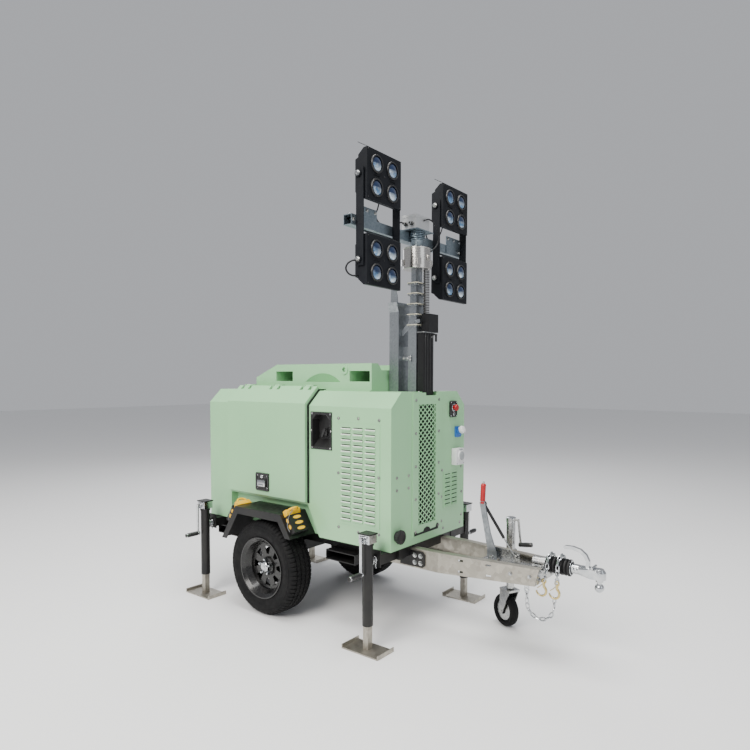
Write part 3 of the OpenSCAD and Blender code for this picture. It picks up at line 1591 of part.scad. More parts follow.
in_frame() chassis_frame();
in_frame() axle_beam();
in_frame() mudguards();
in_frame() chocks();
in_frame() drawbar_beams();
in_frame() drawbar_plates();
in_frame() coupling_housing();
in_frame() coupling_bellows();
in_frame() coupling_head();
in_frame() safety_chains();
in_frame() canopy_front();
in_frame() canopy_rear();
in_frame() roof_frame();
in_frame() front_grille();
in_frame() louvre_panels();
in_frame() switch_recess();
in_frame() front_controls();
in_frame() air_cap();
in_frame() engine_block();
in_frame() mast_column();
in_frame() mast_outer();
in_frame() cable_duct();
in_frame() jockey_clamp();
in_frame() tyre_right();
in_frame() tyre_left();
in_frame() rim_right();
in_frame() rim_left();
in_frame() door_right();
in_frame() door_left();
in_frame() latch_right();
in_frame() latch_left();
in_frame() mast_section_1();
in_frame() mast_section_2();
in_frame() mast_section_3();
in_frame() mast_section_4();
in_frame() mast_section_5();
in_frame() mast_can();
in_frame() crossbar();
in_frame() lamp_bars();
in_frame() junction_box();
in_frame() lamp_upper_right();
in_frame() lamp_upper_left();
in_frame() lamp_lower_right();
in_frame() lamp_lower_left();
in_frame() jack_front_right();
in_frame() jack_front_left();
in_frame() jack_rear_right();
in_frame() jack_rear_left();
in_frame() leg_front_right();
in_frame() leg_front_left();
in_frame() leg_rear_right();
in_frame() leg_rear_left();
in_frame() jockey_stem();
in_frame() jockey_fork();
in_frame() jockey_wheel();
in_frame() brake_lever();
in_frame() strut_body();
in_frame() strut_rod();
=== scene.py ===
"""Looks of a mobile light tower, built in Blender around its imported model.

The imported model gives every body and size. This script gives each surface its
finish, swaps the plain tyres for treaded ones and adds the small parts: bolts,
lenses, cables, chains and trim. Small parts are laid out in millimetres from the
middle of the wheels; everything else is in metres of the model's frame.
"""

import json
import logging
import math
from dataclasses import dataclass
from enum import Enum

import bmesh
import bpy
from mathutils import Matrix, Vector

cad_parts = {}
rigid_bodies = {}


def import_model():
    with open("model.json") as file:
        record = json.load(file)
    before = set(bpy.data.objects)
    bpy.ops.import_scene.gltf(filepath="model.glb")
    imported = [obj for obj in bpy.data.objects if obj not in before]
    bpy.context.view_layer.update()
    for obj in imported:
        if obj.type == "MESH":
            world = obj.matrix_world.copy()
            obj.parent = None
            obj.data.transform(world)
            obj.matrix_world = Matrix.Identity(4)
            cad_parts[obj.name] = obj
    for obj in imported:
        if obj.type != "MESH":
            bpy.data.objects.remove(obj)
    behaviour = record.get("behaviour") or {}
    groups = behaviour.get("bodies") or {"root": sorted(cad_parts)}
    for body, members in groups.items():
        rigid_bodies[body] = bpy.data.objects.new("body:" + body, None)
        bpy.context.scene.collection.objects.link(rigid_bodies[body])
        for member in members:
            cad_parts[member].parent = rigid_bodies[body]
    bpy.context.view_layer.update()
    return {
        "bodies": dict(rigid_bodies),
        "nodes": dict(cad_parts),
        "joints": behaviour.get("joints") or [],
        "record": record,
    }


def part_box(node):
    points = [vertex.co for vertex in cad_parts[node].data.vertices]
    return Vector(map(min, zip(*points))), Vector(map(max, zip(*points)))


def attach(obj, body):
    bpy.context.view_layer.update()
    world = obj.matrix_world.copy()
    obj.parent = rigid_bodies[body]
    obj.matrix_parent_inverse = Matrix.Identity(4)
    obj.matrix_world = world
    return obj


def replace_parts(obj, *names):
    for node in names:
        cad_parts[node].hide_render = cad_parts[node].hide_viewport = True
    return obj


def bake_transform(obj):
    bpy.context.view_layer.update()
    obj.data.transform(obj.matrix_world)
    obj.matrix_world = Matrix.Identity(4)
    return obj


LOG = logging.getLogger("light_tower")

Colour = tuple[float, float, float]
Point = tuple[float, float, float]
Node = bpy.types.ShaderNode
Socket = bpy.types.NodeSocket

SIDES = {"right": -1, "left": 1}
MM = 1000.0


class Axis(Enum):
    """Direction along which a turned or round form stands."""

    X = "x"
    Y = "y"
    Z = "z"

    def frame(self) -> Matrix:
        """Rotation that brings the Z axis onto this axis."""
        turns = {
            Axis.X: Matrix.Rotation(math.pi / 2, 4, "Y"),
            Axis.Y: Matrix.Rotation(-math.pi / 2, 4, "X"),
            Axis.Z: Matrix.Identity(4),
        }
        return turns[self]


# Finishes


class Recipe:
    """Lays out the node tree of one material."""

    def __init__(self, name: str) -> None:
        """Starts a material with a lone Principled shader.

        Args:
            name: Name of the material.
        """
        self.material = bpy.data.materials.new(name)
        self.material.use_nodes = True
        self.tree = self.material.node_tree
        self.shader = self.tree.nodes["Principled BSDF"]
        self.place = self.tree.nodes.new("ShaderNodeTexCoord").outputs["Object"]

    def add(self, kind: str, **values: object) -> Node:
        """Adds a node and sets its inputs.

        Args:
            kind: Type of the node, without its ShaderNode prefix.
            **values: Input values or sockets by input name, with _ for a space.

        Returns:
            The new node.
        """
        node = self.tree.nodes.new("ShaderNode" + kind)
        for key, value in values.items():
            self.feed(node, key.replace("_", " "), value)
        return node

    def feed(self, node: Node, name: str, value: object) -> None:
        """Links a socket or sets a value on a node's input.

        Args:
            node: Node that takes the value.
            name: Name of its input.
            value: A socket, a number or a colour.
        """
        if isinstance(value, bpy.types.NodeSocket):
            self.tree.links.new(value, node.inputs[name])
        elif isinstance(value, tuple) and len(value) == 3 and node.inputs[name].type == "RGBA":
            node.inputs[name].default_value = (*value, 1.0)
        else:
            node.inputs[name].default_value = value

    def dress(self, **values: object) -> None:
        """Sets inputs of the Principled shader, by input name with _ for a space."""
        for key, value in values.items():
            self.feed(self.shader, key.replace("_", " "), value)

    def noise(self, scale: float, detail: float = 4.0, stretch: Point = (1.0, 1.0, 1.0)) -> Socket:
        """Cloudy noise over the object.

        Args:
            scale: Clouds per metre.
            detail: Octaves of finer noise.
            stretch: Factors on the three directions.

        Returns:
            The noise's factor.
        """
        where = self.place
        if stretch != (1.0, 1.0, 1.0):
            where = self.add("Mapping", Vector=where, Scale=stretch).outputs["Vector"]
        return self.add("TexNoise", Vector=where, Scale=scale, Detail=detail).outputs["Fac"]

    def ramp(self, factor: Socket, low: float, high: float, start: float, end: float) -> Socket:
        """Maps a factor linearly and clamped.

        Args:
            factor: Value to map.
            low: Lowest input.
            high: Highest input.
            start: Output at low.
            end: Output at high.

        Returns:
            The mapped value.
        """
        node = self.add("MapRange", Value=factor)
        for name, value in zip(("From Min", "From Max", "To Min", "To Max"), (low, high, start, end)):
            node.inputs[name].default_value = value
        return node.outputs["Result"]

    def gloss(self, scale: float, detail: float, least: float, most: float) -> Socket:
        """Roughness that drifts between two values.

        Args:
            scale: Clouds per metre.
            detail: Octaves of finer noise.
            least: Lowest roughness.
            most: Highest roughness.

        Returns:
            The roughness.
        """
        return self.ramp(self.noise(scale, detail), 0.3, 0.7, least, most)

    def mix(self, factor: Socket, first: Colour | Socket, second: Colour | Socket) -> Socket:
        """Blends two colours.

        Args:
            factor: 0 gives the first, 1 the second.
            first: Colour or socket.
            second: Colour or socket.

        Returns:
            The blended colour.
        """
        node = self.tree.nodes.new("ShaderNodeMix")
        node.data_type = "RGBA"
        self.tree.links.new(factor, node.inputs["Factor"])
        for socket, value in ((node.inputs[6], first), (node.inputs[7], second)):
            if isinstance(value, bpy.types.NodeSocket):
                self.tree.links.new(value, socket)
            else:
                socket.default_value = (*value, 1.0)
        return node.outputs[2]

    def bump(self, height: Socket, depth: float, strength: float = 1.0) -> None:
        """Roughens the shaded surface.

        Args:
            height: Height from 0 to 1.
            depth: Real height of 1, in metres.
            strength: Share of the effect.
        """
        node = self.add("Bump", Height=height, Strength=strength, Distance=depth)
        self.feed(self.shader, "Normal", node.outputs["Normal"])

    def grime(self, top: float, reach: float) -> Socket:
        """Road dust that thins out upwards.

        Args:
            top: Height above the ground where it ends.
            reach: Share of the surface that it covers at the ground.

        Returns:
            Factor, 0 where the surface is clean.
        """
        height = self.add("SeparateXYZ", Vector=self.place).outputs["Z"]
        fade = self.ramp(height, 0.0, top, reach, 0.0)
        clouds = self.ramp(self.noise(9.0, 8.0), 0.35, 0.7, 0.0, 1.0)
        product = self.add("Math", Value=0.0)
        product.operation = "MULTIPLY"
        self.tree.links.new(fade, product.inputs[0])
        self.tree.links.new(clouds, product.inputs[1])
        return product.outputs["Value"]


@dataclass(frozen=True)
class Paint:
    """Powder coat or enamel on sheet steel."""

    name: str
    colour: Colour
    shade: Colour
    roughness: float = 0.4
    coat: float = 0.3
    specular: float = 0.5
    peel: float = 0.00012
    dust: float = 0.25
    dust_top: float = 1.0
    dust_colour: Colour = (0.33, 0.29, 0.23)

    def material(self) -> bpy.types.Material:
        """Enamel of two close tones with orange peel and some road dust."""
        recipe = Recipe(self.name)
        clouds = recipe.ramp(recipe.noise(2.2, 6.0), 0.35, 0.65, 0.0, 1.0)
        tone = recipe.mix(clouds, self.colour, self.shade)
        recipe.dress(
            Base_Color=recipe.mix(recipe.grime(self.dust_top, self.dust), tone, self.dust_colour),
            Roughness=recipe.gloss(34.0, 6.0, self.roughness - 0.07, self.roughness + 0.09),
            Specular_IOR_Level=self.specular,
            Coat_Weight=self.coat,
            Coat_Roughness=0.12,
        )
        recipe.bump(recipe.noise(420.0, 2.0), self.peel, 0.6)
        return recipe.material


@dataclass(frozen=True)
class Galvanised:
    """Hot-dip zinc with its crystal spangle."""

    name: str
    colour: Colour = (0.52, 0.54, 0.56)
    shade: Colour = (0.36, 0.38, 0.40)
    roughness: float = 0.36
    spangle: float = 70.0

    def material(self) -> bpy.types.Material:
        """Metal whose crystals differ in tone and gloss."""
        recipe = Recipe(self.name)
        crystal = recipe.add("TexVoronoi", Vector=recipe.place, Scale=self.spangle)
        grey = recipe.add("SeparateColor", Color=crystal.outputs["Color"]).outputs["Red"]
        streak = recipe.ramp(recipe.noise(6.0, 8.0, (1.0, 1.0, 0.35)), 0.3, 0.7, 0.0, 1.0)
        base = recipe.mix(recipe.ramp(grey, 0.0, 1.0, 0.0, 0.75), self.colour, self.shade)
        dull = tuple(0.82 * c for c in self.shade)
        recipe.dress(
            Base_Color=recipe.mix(recipe.ramp(streak, 0.0, 1.0, 0.0, 0.35), base, dull),
            Metallic=0.92,
            Roughness=recipe.ramp(grey, 0.0, 1.0, self.roughness - 0.08, self.roughness + 0.12),
        )
        recipe.bump(recipe.noise(150.0, 5.0), 0.0002, 0.45)
        return recipe.material


@dataclass(frozen=True)
class Plated:
    """Bright electroplate: chrome, zinc or yellow passivated zinc."""

    name: str
    colour: Colour
    tint: Colour
    roughness: float = 0.14

    def material(self) -> bpy.types.Material:
        """Metal with a faint change of tint and handling smears."""
        recipe = Recipe(self.name)
        clouds = recipe.ramp(recipe.noise(30.0, 5.0), 0.38, 0.62, 0.0, 1.0)
        recipe.dress(
            Base_Color=recipe.mix(clouds, self.colour, self.tint),
            Metallic=1.0,
            Roughness=recipe.ramp(recipe.noise(85.0, 8.0), 0.3, 0.7, self.roughness, self.roughness + 0.16),
        )
        recipe.bump(recipe.noise(260.0, 3.0), 0.00008, 0.35)
        return recipe.material


@dataclass(frozen=True)
class Brushed:
    """Stainless sheet brushed round its turned form."""

    name: str
    colour: Colour = (0.66, 0.66, 0.66)
    roughness: float = 0.24

    def material(self) -> bpy.types.Material:
        """Metal with fine level scratches."""
        recipe = Recipe(self.name)
        lines = recipe.noise(40.0, 6.0, (0.6, 0.6, 26.0))
        dull = tuple(0.8 * c for c in self.colour)
        recipe.dress(
            Base_Color=recipe.mix(recipe.ramp(lines, 0.3, 0.7, 0.0, 1.0), self.colour, dull),
            Metallic=1.0,
            Roughness=recipe.ramp(lines, 0.3, 0.7, self.roughness - 0.06, self.roughness + 0.12),
        )
        recipe.bump(lines, 0.0001, 0.3)
        return recipe.material


@dataclass(frozen=True)
class Rubber:
    """Tyre, bellows or cable rubber."""

    name: str
    colour: Colour = (0.004, 0.004, 0.0045)
    dusty: Colour = (0.012, 0.0115, 0.011)
    roughness: float = 0.68
    grain: float = 0.0004

    def material(self) -> bpy.types.Material:
        """Dull black with dust caught in its grain."""
        recipe = Recipe(self.name)
        clouds = recipe.ramp(recipe.noise(16.0, 9.0), 0.42, 0.75, 0.0, 0.6)
        recipe.dress(
            Base_Color=recipe.mix(clouds, self.colour, self.dusty),
            Roughness=recipe.gloss(50.0, 4.0, self.roughness - 0.1, self.roughness + 0.1),
            Specular_IOR_Level=0.18,
        )
        recipe.bump(recipe.noise(520.0, 3.0), self.grain, 0.5)
        return recipe.material


@dataclass(frozen=True)
class Plastic:
    """Moulded plastic with a fine texture."""

    name: str
    colour: Colour
    shade: Colour
    roughness: float = 0.38

    def material(self) -> bpy.types.Material:
        """Plastic with slight changes of tone and a pebbled skin."""
        recipe = Recipe(self.name)
        clouds = recipe.ramp(recipe.noise(24.0, 5.0), 0.35, 0.65, 0.0, 1.0)
        recipe.dress(
            Base_Color=recipe.mix(clouds, self.colour, self.shade),
            Roughness=recipe.gloss(60.0, 4.0, self.roughness - 0.06, self.roughness + 0.08),
        )
        recipe.bump(recipe.noise(700.0, 2.0), 0.00008, 0.5)
        return recipe.material


@dataclass(frozen=True)
class LensGlass:
    """Clear dome over its reflector, seen as one glossy body; its reflections are painted into its colour."""

    name: str
    deep: Colour = (0.006, 0.022, 0.07)
    middle: Colour = (0.16, 0.34, 0.58)
    bright: Colour = (0.80, 0.92, 1.0)

    def material(self) -> bpy.types.Material:
        """Glossy glass painted by which way each face turns: deep blue on faces turned up, a painted
        highlight of pale and mid-blue clouds on faces turned down, and deep blue again at the lowest rim.
        """
        recipe = Recipe(self.name)
        normal = recipe.add("SeparateXYZ", Vector=recipe.add("NewGeometry").outputs["Normal"]).outputs["Z"]
        # Painted reflection and highlight: the colour follows the way each face turns, not the glass itself.
        lower_highlight = recipe.ramp(normal, -0.42, 0.06, 1.0, 0.0)
        rim = recipe.ramp(normal, -0.62, -0.45, 0.0, 1.0)
        clouds = recipe.ramp(recipe.noise(26.0, 2.0), 0.4, 0.6, 0.0, 1.0)
        highlight_clouds = recipe.mix(clouds, self.bright, self.middle)
        core = recipe.mix(rim, self.deep, highlight_clouds)
        recipe.dress(
            Base_Color=recipe.mix(lower_highlight, self.deep, core),
            Metallic=0.35,
            Roughness=recipe.ramp(lower_highlight, 0.0, 1.0, 0.03, 0.10),
            Coat_Weight=0.6,
            Coat_Roughness=0.02,
        )
        return recipe.material


MINT = Paint("mint_enamel", (0.29, 0.56, 0.30), (0.27, 0.535, 0.285), roughness=0.38, dust=0.10, dust_top=0.9)
# Much lighter mint for the louvre lips: a painted highlight where their rounded tops catch the light.
HIGHLIGHT_MINT = Paint("highlight_enamel", (0.74, 0.84, 0.72), (0.68, 0.80, 0.67), roughness=0.3, dust=0.0)
BLACK = Paint("black_enamel", (0.006, 0.006, 0.007), (0.010, 0.010, 0.010), 0.4, 0.08, 0.3, dust=0.04)
RIM_BLACK = Paint("rim_enamel", (0.004, 0.004, 0.005), (0.007, 0.007, 0.007), 0.26, 0.25, 0.4, dust=0.02)
LAMP_BLACK = Paint("lamp_enamel", (0.003, 0.004, 0.006), (0.006, 0.007, 0.010), 0.5, 0.0, 0.22, dust=0.0)
ENGINE_GREY = Paint("engine_enamel", (0.06, 0.07, 0.075), (0.04, 0.045, 0.05), roughness=0.55, dust=0.0)
GALVANISED = Galvanised("galvanised_steel", (0.36, 0.38, 0.40), (0.22, 0.24, 0.26))
BEAM_ZINC = Galvanised("beam_zinc", (0.46, 0.43, 0.37), (0.34, 0.32, 0.28), roughness=0.42, spangle=38.0)
BAR_ZINC = Galvanised("bar_zinc", (0.30, 0.36, 0.40), (0.20, 0.25, 0.29), roughness=0.38, spangle=90.0)
BOX_STEEL = Galvanised("box_steel", (0.74, 0.75, 0.75), (0.66, 0.67, 0.67), roughness=0.40, spangle=24.0)
CHROME = Plated("chrome_plate", (0.62, 0.63, 0.64), (0.50, 0.52, 0.54), 0.08)
ZINC_PLATE = Plated("zinc_plate", (0.52, 0.52, 0.50), (0.40, 0.41, 0.42), 0.20)
SCREW_STEEL = Plated("screw_steel", (0.34, 0.33, 0.31), (0.24, 0.24, 0.24), 0.22)
GOLD_ZINC = Plated("yellow_zinc", (0.72, 0.55, 0.22), (0.52, 0.45, 0.24), 0.24)
STAINLESS = Brushed("brushed_stainless", (0.58, 0.56, 0.53), 0.2)
TYRE_RUBBER = Rubber("tyre_rubber")
SOFT_RUBBER = Rubber("bellows_rubber", (0.010, 0.010, 0.011), (0.03, 0.03, 0.03), 0.5, 0.0001)
CABLE_SKIN = Rubber("cable_skin", (0.012, 0.012, 0.014), (0.03, 0.03, 0.033), 0.42, 0.0001)
YELLOW = Plastic("chock_yellow", (0.90, 0.52, 0.003), (0.82, 0.45, 0.002), 0.42)
RED = Plastic("signal_red", (0.42, 0.006, 0.010), (0.33, 0.005, 0.008), 0.32)
BLUE = Plastic("socket_blue", (0.03, 0.14, 0.46), (0.025, 0.11, 0.38), 0.34)
WHITE = Plastic("socket_white", (0.72, 0.73, 0.72), (0.64, 0.65, 0.65), 0.36)
BLACK_PLASTIC = Plastic("black_moulding", (0.012, 0.012, 0.013), (0.02, 0.02, 0.02), 0.34)
CREAM = Plastic("cream_nylon", (0.68, 0.64, 0.50), (0.58, 0.55, 0.42), 0.45)
LENS = LensGlass("lens_glass")
# Black for strips and sheets of painted shadow in the louvre slots and the low cable entry.
SHADOW_BLACK = Plastic("slot_shadow", (0.006, 0.006, 0.006), (0.010, 0.010, 0.010), 0.7)
CABLE_GREY = Rubber("coil_skin", (0.05, 0.05, 0.052), (0.12, 0.12, 0.12), 0.45, 0.0001)
CORD_GREY = Rubber("cord_skin", (0.20, 0.20, 0.20), (0.30, 0.30, 0.29), 0.6, 0.0002)
SOCKET_GREY = Plastic("socket_grey", (0.34, 0.36, 0.37), (0.28, 0.30, 0.31), 0.42)

Finish = Paint | Galvanised | Plated | Brushed | Rubber | Plastic | LensGlass


class Workshop:
    """Keeps one material for each finish."""

    _made: dict[str, bpy.types.Material] = {}

    @classmethod
    def coat(cls, finish: Finish) -> bpy.types.Material:
        """Material of a finish, made on first use."""
        if finish.name not in cls._made:
            cls._made[finish.name] = finish.material()
        return cls._made[finish.name]

    @classmethod
    def repaint(cls, node: str, frame: dict, finish: Finish) -> None:
        """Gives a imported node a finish.

        Args:
            node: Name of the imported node.
            finish: The finish.
        """
        obj = frame["nodes"][node]
        obj.data.materials.clear()
        obj.data.materials.append(cls.coat(finish))


# Shapes


def rounded(width: float, height: float, radius: float, steps: int = 4) -> list[tuple[float, float]]:
    """Outline of a rectangle with round corners about the origin.

    Args:
        width: Size along the first direction.
        height: Size along the second direction.
        radius: Radius of the corners.
        steps: Facets of each corner.

    Returns:
        The corners, turning left.
    """
    points = []
    for quarter, (sx, sy) in enumerate(((1, 1), (-1, 1), (-1, -1), (1, -1))):
        cx, cy = sx * (width / 2 - radius), sy * (height / 2 - radius)
        for i in range(steps + 1):
            angle = math.pi / 2 * (quarter + i / steps)
            points.append((cx + radius * math.cos(angle), cy + radius * math.sin(angle)))
    return points


def oval(half_x: float, half_y: float, count: int = 28) -> list[tuple[float, float]]:
    """Outline of an oval about the origin."""
    angles = [2 * math.pi * i / count for i in range(count)]
    return [(half_x * math.cos(a), half_y * math.sin(a)) for a in angles]


def facing_x(x: float, y: float = 0.0, z: float = 0.0) -> Matrix:
    """Frame whose outline lies in Y and Z and that grows along +X."""
    turn = Matrix(((0, 0, 1, 0), (1, 0, 0, 0), (0, 1, 0, 0), (0, 0, 0, 1)))
    return Matrix.Translation((x, y, z)) @ turn


def facing_y(x: float, y: float, z: float, sign: int) -> Matrix:
    """Frame whose outline lies in X and Z and that grows along Y, by its sign."""
    turn = Matrix(((1, 0, 0, 0), (0, 0, sign, 0), (0, 1, 0, 0), (0, 0, 0, 1)))
    return Matrix.Translation((x, y, z)) @ turn


def smooth(points: list[Point], steps: int = 8) -> list[Vector]:
    """Smooth curve through points.

    Args:
        points: Points that it passes.
        steps: Pieces between two points.

    Returns:
        Points along the curve.
    """
    knots = [Vector(p) for p in points]
    knots = [2 * knots[0] - knots[1], *knots, 2 * knots[-1] - knots[-2]]
    path = []
    for a, b, c, d in zip(knots, knots[1:], knots[2:], knots[3:]):
        for i in range(steps):
            t = i / steps
            path.append(0.5 * (2 * b + (c - a) * t + (2 * a - 5 * b + 4 * c - d) * t * t
                               + (3 * b - a - 3 * c + d) * t ** 3))
    path.append(knots[-2])
    return path


class Shape:
    """A mesh put together from turned, swept and cut forms, in millimetres about the axle."""

    axle_x = 0.0

    def __init__(self, name: str) -> None:
        """Starts an empty mesh.

        Args:
            name: Name of the piece.
        """
        self.name = name
        self.mesh = bmesh.new()

    def box(self, low: Point, high: Point, bevel: float = 0.0) -> "Shape":
        """Adds a box between two corners.

        Args:
            low: One corner.
            high: The corner across.
            bevel: Width of its rounded edges.

        Returns:
            The shape itself.
        """
        size = [abs(b - a) for a, b in zip(low, high)]
        centre = [(a + b) / 2 for a, b in zip(low, high)]
        grid = Matrix.Translation(centre) @ Matrix.Diagonal((*size, 1.0))
        made = bmesh.ops.create_cube(self.mesh, size=1.0, matrix=grid)["verts"]
        if bevel:
            edges = {e for v in made for e in v.link_edges}
            bmesh.ops.bevel(
                self.mesh, geom=list(edges), offset=bevel, segments=2, affect="EDGES", profile=0.5
            )
        return self

    def lathe(self, profile: list[tuple[float, float]], place: Matrix, turns: int = 32) -> "Shape":
        """Adds a turned form; a radius of 0 closes it on its axis.

        Args:
            profile: Radius and height along the local Z axis.
            place: Local frame.
            turns: Facets round the axis.

        Returns:
            The shape itself.
        """
        rings = []
        for radius, height in profile:
            if radius == 0:
                rings.append([self.mesh.verts.new(place @ Vector((0, 0, height)))])
                continue
            angles = [2 * math.pi * i / turns for i in range(turns)]
            rings.append([
                self.mesh.verts.new(place @ Vector((radius * math.cos(a), radius * math.sin(a), height)))
                for a in angles
            ])
        for low, high in zip(rings, rings[1:]):
            for i in range(turns):
                j = (i + 1) % turns
                loop = [low[i % len(low)], low[j % len(low)], high[j % len(high)], high[i % len(high)]]
                corners = list(dict.fromkeys(loop))
                if len(corners) > 2:
                    self.mesh.faces.new(corners)
        return self

    def turned(self, centre: Point, axis: Axis, profile: list[tuple[float, float]], turns: int = 32,
               up: int = 1) -> "Shape":
        """Adds a turned form about an axis of the frame.

        Args:
            centre: Origin of the profile.
            axis: Its axis.
            profile: Radius and height.
            turns: Facets round the axis.
            up: 1 or -1, the way that the heights count.

        Returns:
            The shape itself.
        """
        return self.lathe([(r, up * h) for r, h in profile], Matrix.Translation(centre) @ axis.frame(), turns)

    def rod(self, centre: Point, axis: Axis, radius: float, length: float, turns: int = 24,
            rim: float = 0.0) -> "Shape":
        """Adds a round bar about its centre.

        Args:
            centre: Middle of the bar.
            axis: Direction of the bar.
            radius: Its radius.
            length: Its length.
            turns: Facets round it.
            rim: Chamfer of both ends.

        Returns:
            The shape itself.
        """
        half = length / 2
        chamfer = rim or min(radius, length) * 0.12
        profile = [(0, -half), (radius - chamfer, -half), (radius, -half + chamfer), (radius, half - chamfer),
                   (radius - chamfer, half), (0, half)]
        return self.turned(centre, axis, profile, turns)

    def band(self, centre: Point, axis: Axis, inner: float, outer: float, length: float,
             turns: int = 40) -> "Shape":
        """Adds a ring with rounded outer edges about its centre.

        Args:
            centre: Middle of the ring.
            axis: Its axis.
            inner: Inside radius.
            outer: Outside radius.
            length: Length along the axis.
            turns: Facets round it.

        Returns:
            The shape itself.
        """
        h, c = length / 2, min(outer - inner, length) * 0.3
        profile = [(inner, -h), (outer - c, -h), (outer, -h + c), (outer, h - c), (outer - c, h), (inner, h),
                   (inner, -h)]
        return self.turned(centre, axis, profile, turns)

    def screw(self, centre: Point, axis: Axis, radius: float, up: int = 1) -> "Shape":
        """Adds a round-headed screw on its washer, standing on a surface.

        Args:
            centre: Its middle on the surface.
            axis: Direction in which it stands out.
            radius: Radius of the washer.
            up: 1 or -1, the way along the axis.

        Returns:
            The shape itself.
        """
        head = 0.68 * radius
        steps = [math.pi / 2 * i / 4 for i in range(4)]
        profile = [(0, 0), (radius, 0), (radius, 0.18 * radius), (head, 0.2 * radius)]
        profile += [(head * math.cos(s), radius * (0.2 + 0.42 * math.sin(s))) for s in steps[1:]]
        profile += [(0.16 * radius, 0.62 * radius), (0.12 * radius, 0.4 * radius), (0, 0.4 * radius)]
        return self.turned(centre, axis, profile, 16, up)

    def bolt(self, centre: Point, axis: Axis, size: float, up: int = 1) -> "Shape":
        """Adds a hexagon bolt head on its washer.

        Args:
            centre: Its middle on the surface.
            axis: Direction in which it stands out.
            size: Width across the flats.
            up: 1 or -1, the way along the axis.

        Returns:
            The shape itself.
        """
        washer, head = 0.12 * size, 0.62 * size
        self.turned(centre, axis, [(0, 0), (0.82 * size, 0), (0.82 * size, washer), (0, washer)], 20, up)
        wide, top = 0.57 * size, 0.46 * size
        points = [(0, washer), (wide, washer), (wide, head * 0.85), (top, head), (0, head)]
        return self.turned(centre, axis, points, 6, up)

    def sweep(self, path: list[Point] | list[Vector], radius: float, turns: int = 10, closed: bool = False,
              tip: float = 1.0) -> "Shape":
        """Adds a round bar along a path.

        Args:
            path: Points that it follows.
            radius: Its radius.
            turns: Facets round it.
            closed: Whether the path is a loop.
            tip: Share of the radius that is left at the far end.

        Returns:
            The shape itself.
        """
        points = [Vector(p) for p in path]
        last = len(points) - 1
        side = Vector((0.02, 0.01, 1)).cross(points[1] - points[0])
        rings = []
        for i, point in enumerate(points):
            before = points[i - 1] if closed else points[max(i - 1, 0)]
            after = points[(i + 1) % (last + 1)] if closed else points[min(i + 1, last)]
            ahead = (after - before).normalized()
            side = (side - ahead * side.dot(ahead)).normalized()
            other = ahead.cross(side)
            here = radius * (1 + (tip - 1) * i / last)
            angles = [2 * math.pi * k / turns for k in range(turns)]
            rings.append([
                self.mesh.verts.new(point + here * (math.cos(a) * side + math.sin(a) * other)) for a in angles
            ])
        pairs = list(zip(rings, rings[1:]))
        if closed:
            pairs.append((rings[-1], rings[0]))
        for low, high in pairs:
            for i in range(turns):
                j = (i + 1) % turns
                self.mesh.faces.new([low[i], low[j], high[j], high[i]])
        if not closed:
            self.mesh.faces.new(list(reversed(rings[0])))
            self.mesh.faces.new(rings[-1])
        return self

    def plate(self, outline: list[tuple[float, float]], place: Matrix, thick: float) -> "Shape":
        """Adds a flat plate.

        Args:
            outline: Corners in the local X and Y.
            place: Local frame.
            thick: Thickness along the local Z axis.

        Returns:
            The shape itself.
        """
        low = [self.mesh.verts.new(place @ Vector((x, y, 0))) for x, y in outline]
        high = [self.mesh.verts.new(place @ Vector((x, y, thick))) for x, y in outline]
        self.mesh.faces.new(list(reversed(low)))
        self.mesh.faces.new(high)
        for i in range(len(low)):
            j = (i + 1) % len(low)
            self.mesh.faces.new([low[i], low[j], high[j], high[i]])
        return self

    def rim(self, outer: list[tuple[float, float]], inner: list[tuple[float, float]], place: Matrix,
            thick: float) -> "Shape":
        """Adds a flat plate with a hole.

        Args:
            outer: Outside corners in the local X and Y.
            inner: The hole's corners, as many as outside.
            place: Local frame.
            thick: Thickness along the local Z axis.

        Returns:
            The shape itself.
        """
        loops = [
            [self.mesh.verts.new(place @ Vector((x, y, z))) for x, y in outline]
            for outline, z in ((outer, 0), (outer, thick), (inner, thick), (inner, 0))
        ]
        for here, there in zip(loops, loops[1:] + loops[:1]):
            for i in range(len(outer)):
                j = (i + 1) % len(outer)
                self.mesh.faces.new([here[i], here[j], there[j], there[i]])
        return self

    def finish(self, finish: Finish, body: str = "") -> bpy.types.Object:
        """Turns the mesh into a piece on a body.

        Args:
            finish: Its finish.
            body: Body that it rides on, left out for a piece that rides on no body.

        Returns:
            The piece.
        """
        bmesh.ops.recalc_face_normals(self.mesh, faces=self.mesh.faces)
        data = bpy.data.meshes.new(self.name)
        to_metres = Matrix.Diagonal((1 / MM, 1 / MM, 1 / MM, 1))
        self.mesh.transform(Matrix.Translation((self.axle_x, 0, 0)) @ to_metres)
        self.mesh.to_mesh(data)
        self.mesh.free()
        piece = bpy.data.objects.new(self.name, data)
        bpy.context.scene.collection.objects.link(piece)
        data.materials.append(Workshop.coat(finish))
        data.shade_smooth()
        data.set_sharp_from_angle(angle=math.radians(38))
        if body:
            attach(piece, body)
        LOG.info("%s: %d faces on %s", self.name, len(data.polygons), body or "two bodies")
        return piece


CABLE_POINTS = 36


@dataclass
class Cable:
    """A flexible cable held at both ends."""

    name: str
    points: list[Point]
    body: str
    far_body: str = ""
    thick: float = 9.0
    finish: Finish | None = None

    def build(self) -> None:
        """Makes the cable; one that runs to a far body is left on no body, with its place baked into the
        mesh.
        """
        path = smooth(self.points, CABLE_POINTS // (len(self.points) - 1))
        rides = "" if self.far_body else self.body
        piece = Shape(self.name).sweep(path, self.thick / 2).finish(self.finish or CABLE_SKIN, rides)
        if self.far_body:
            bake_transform(piece)


# Wheels


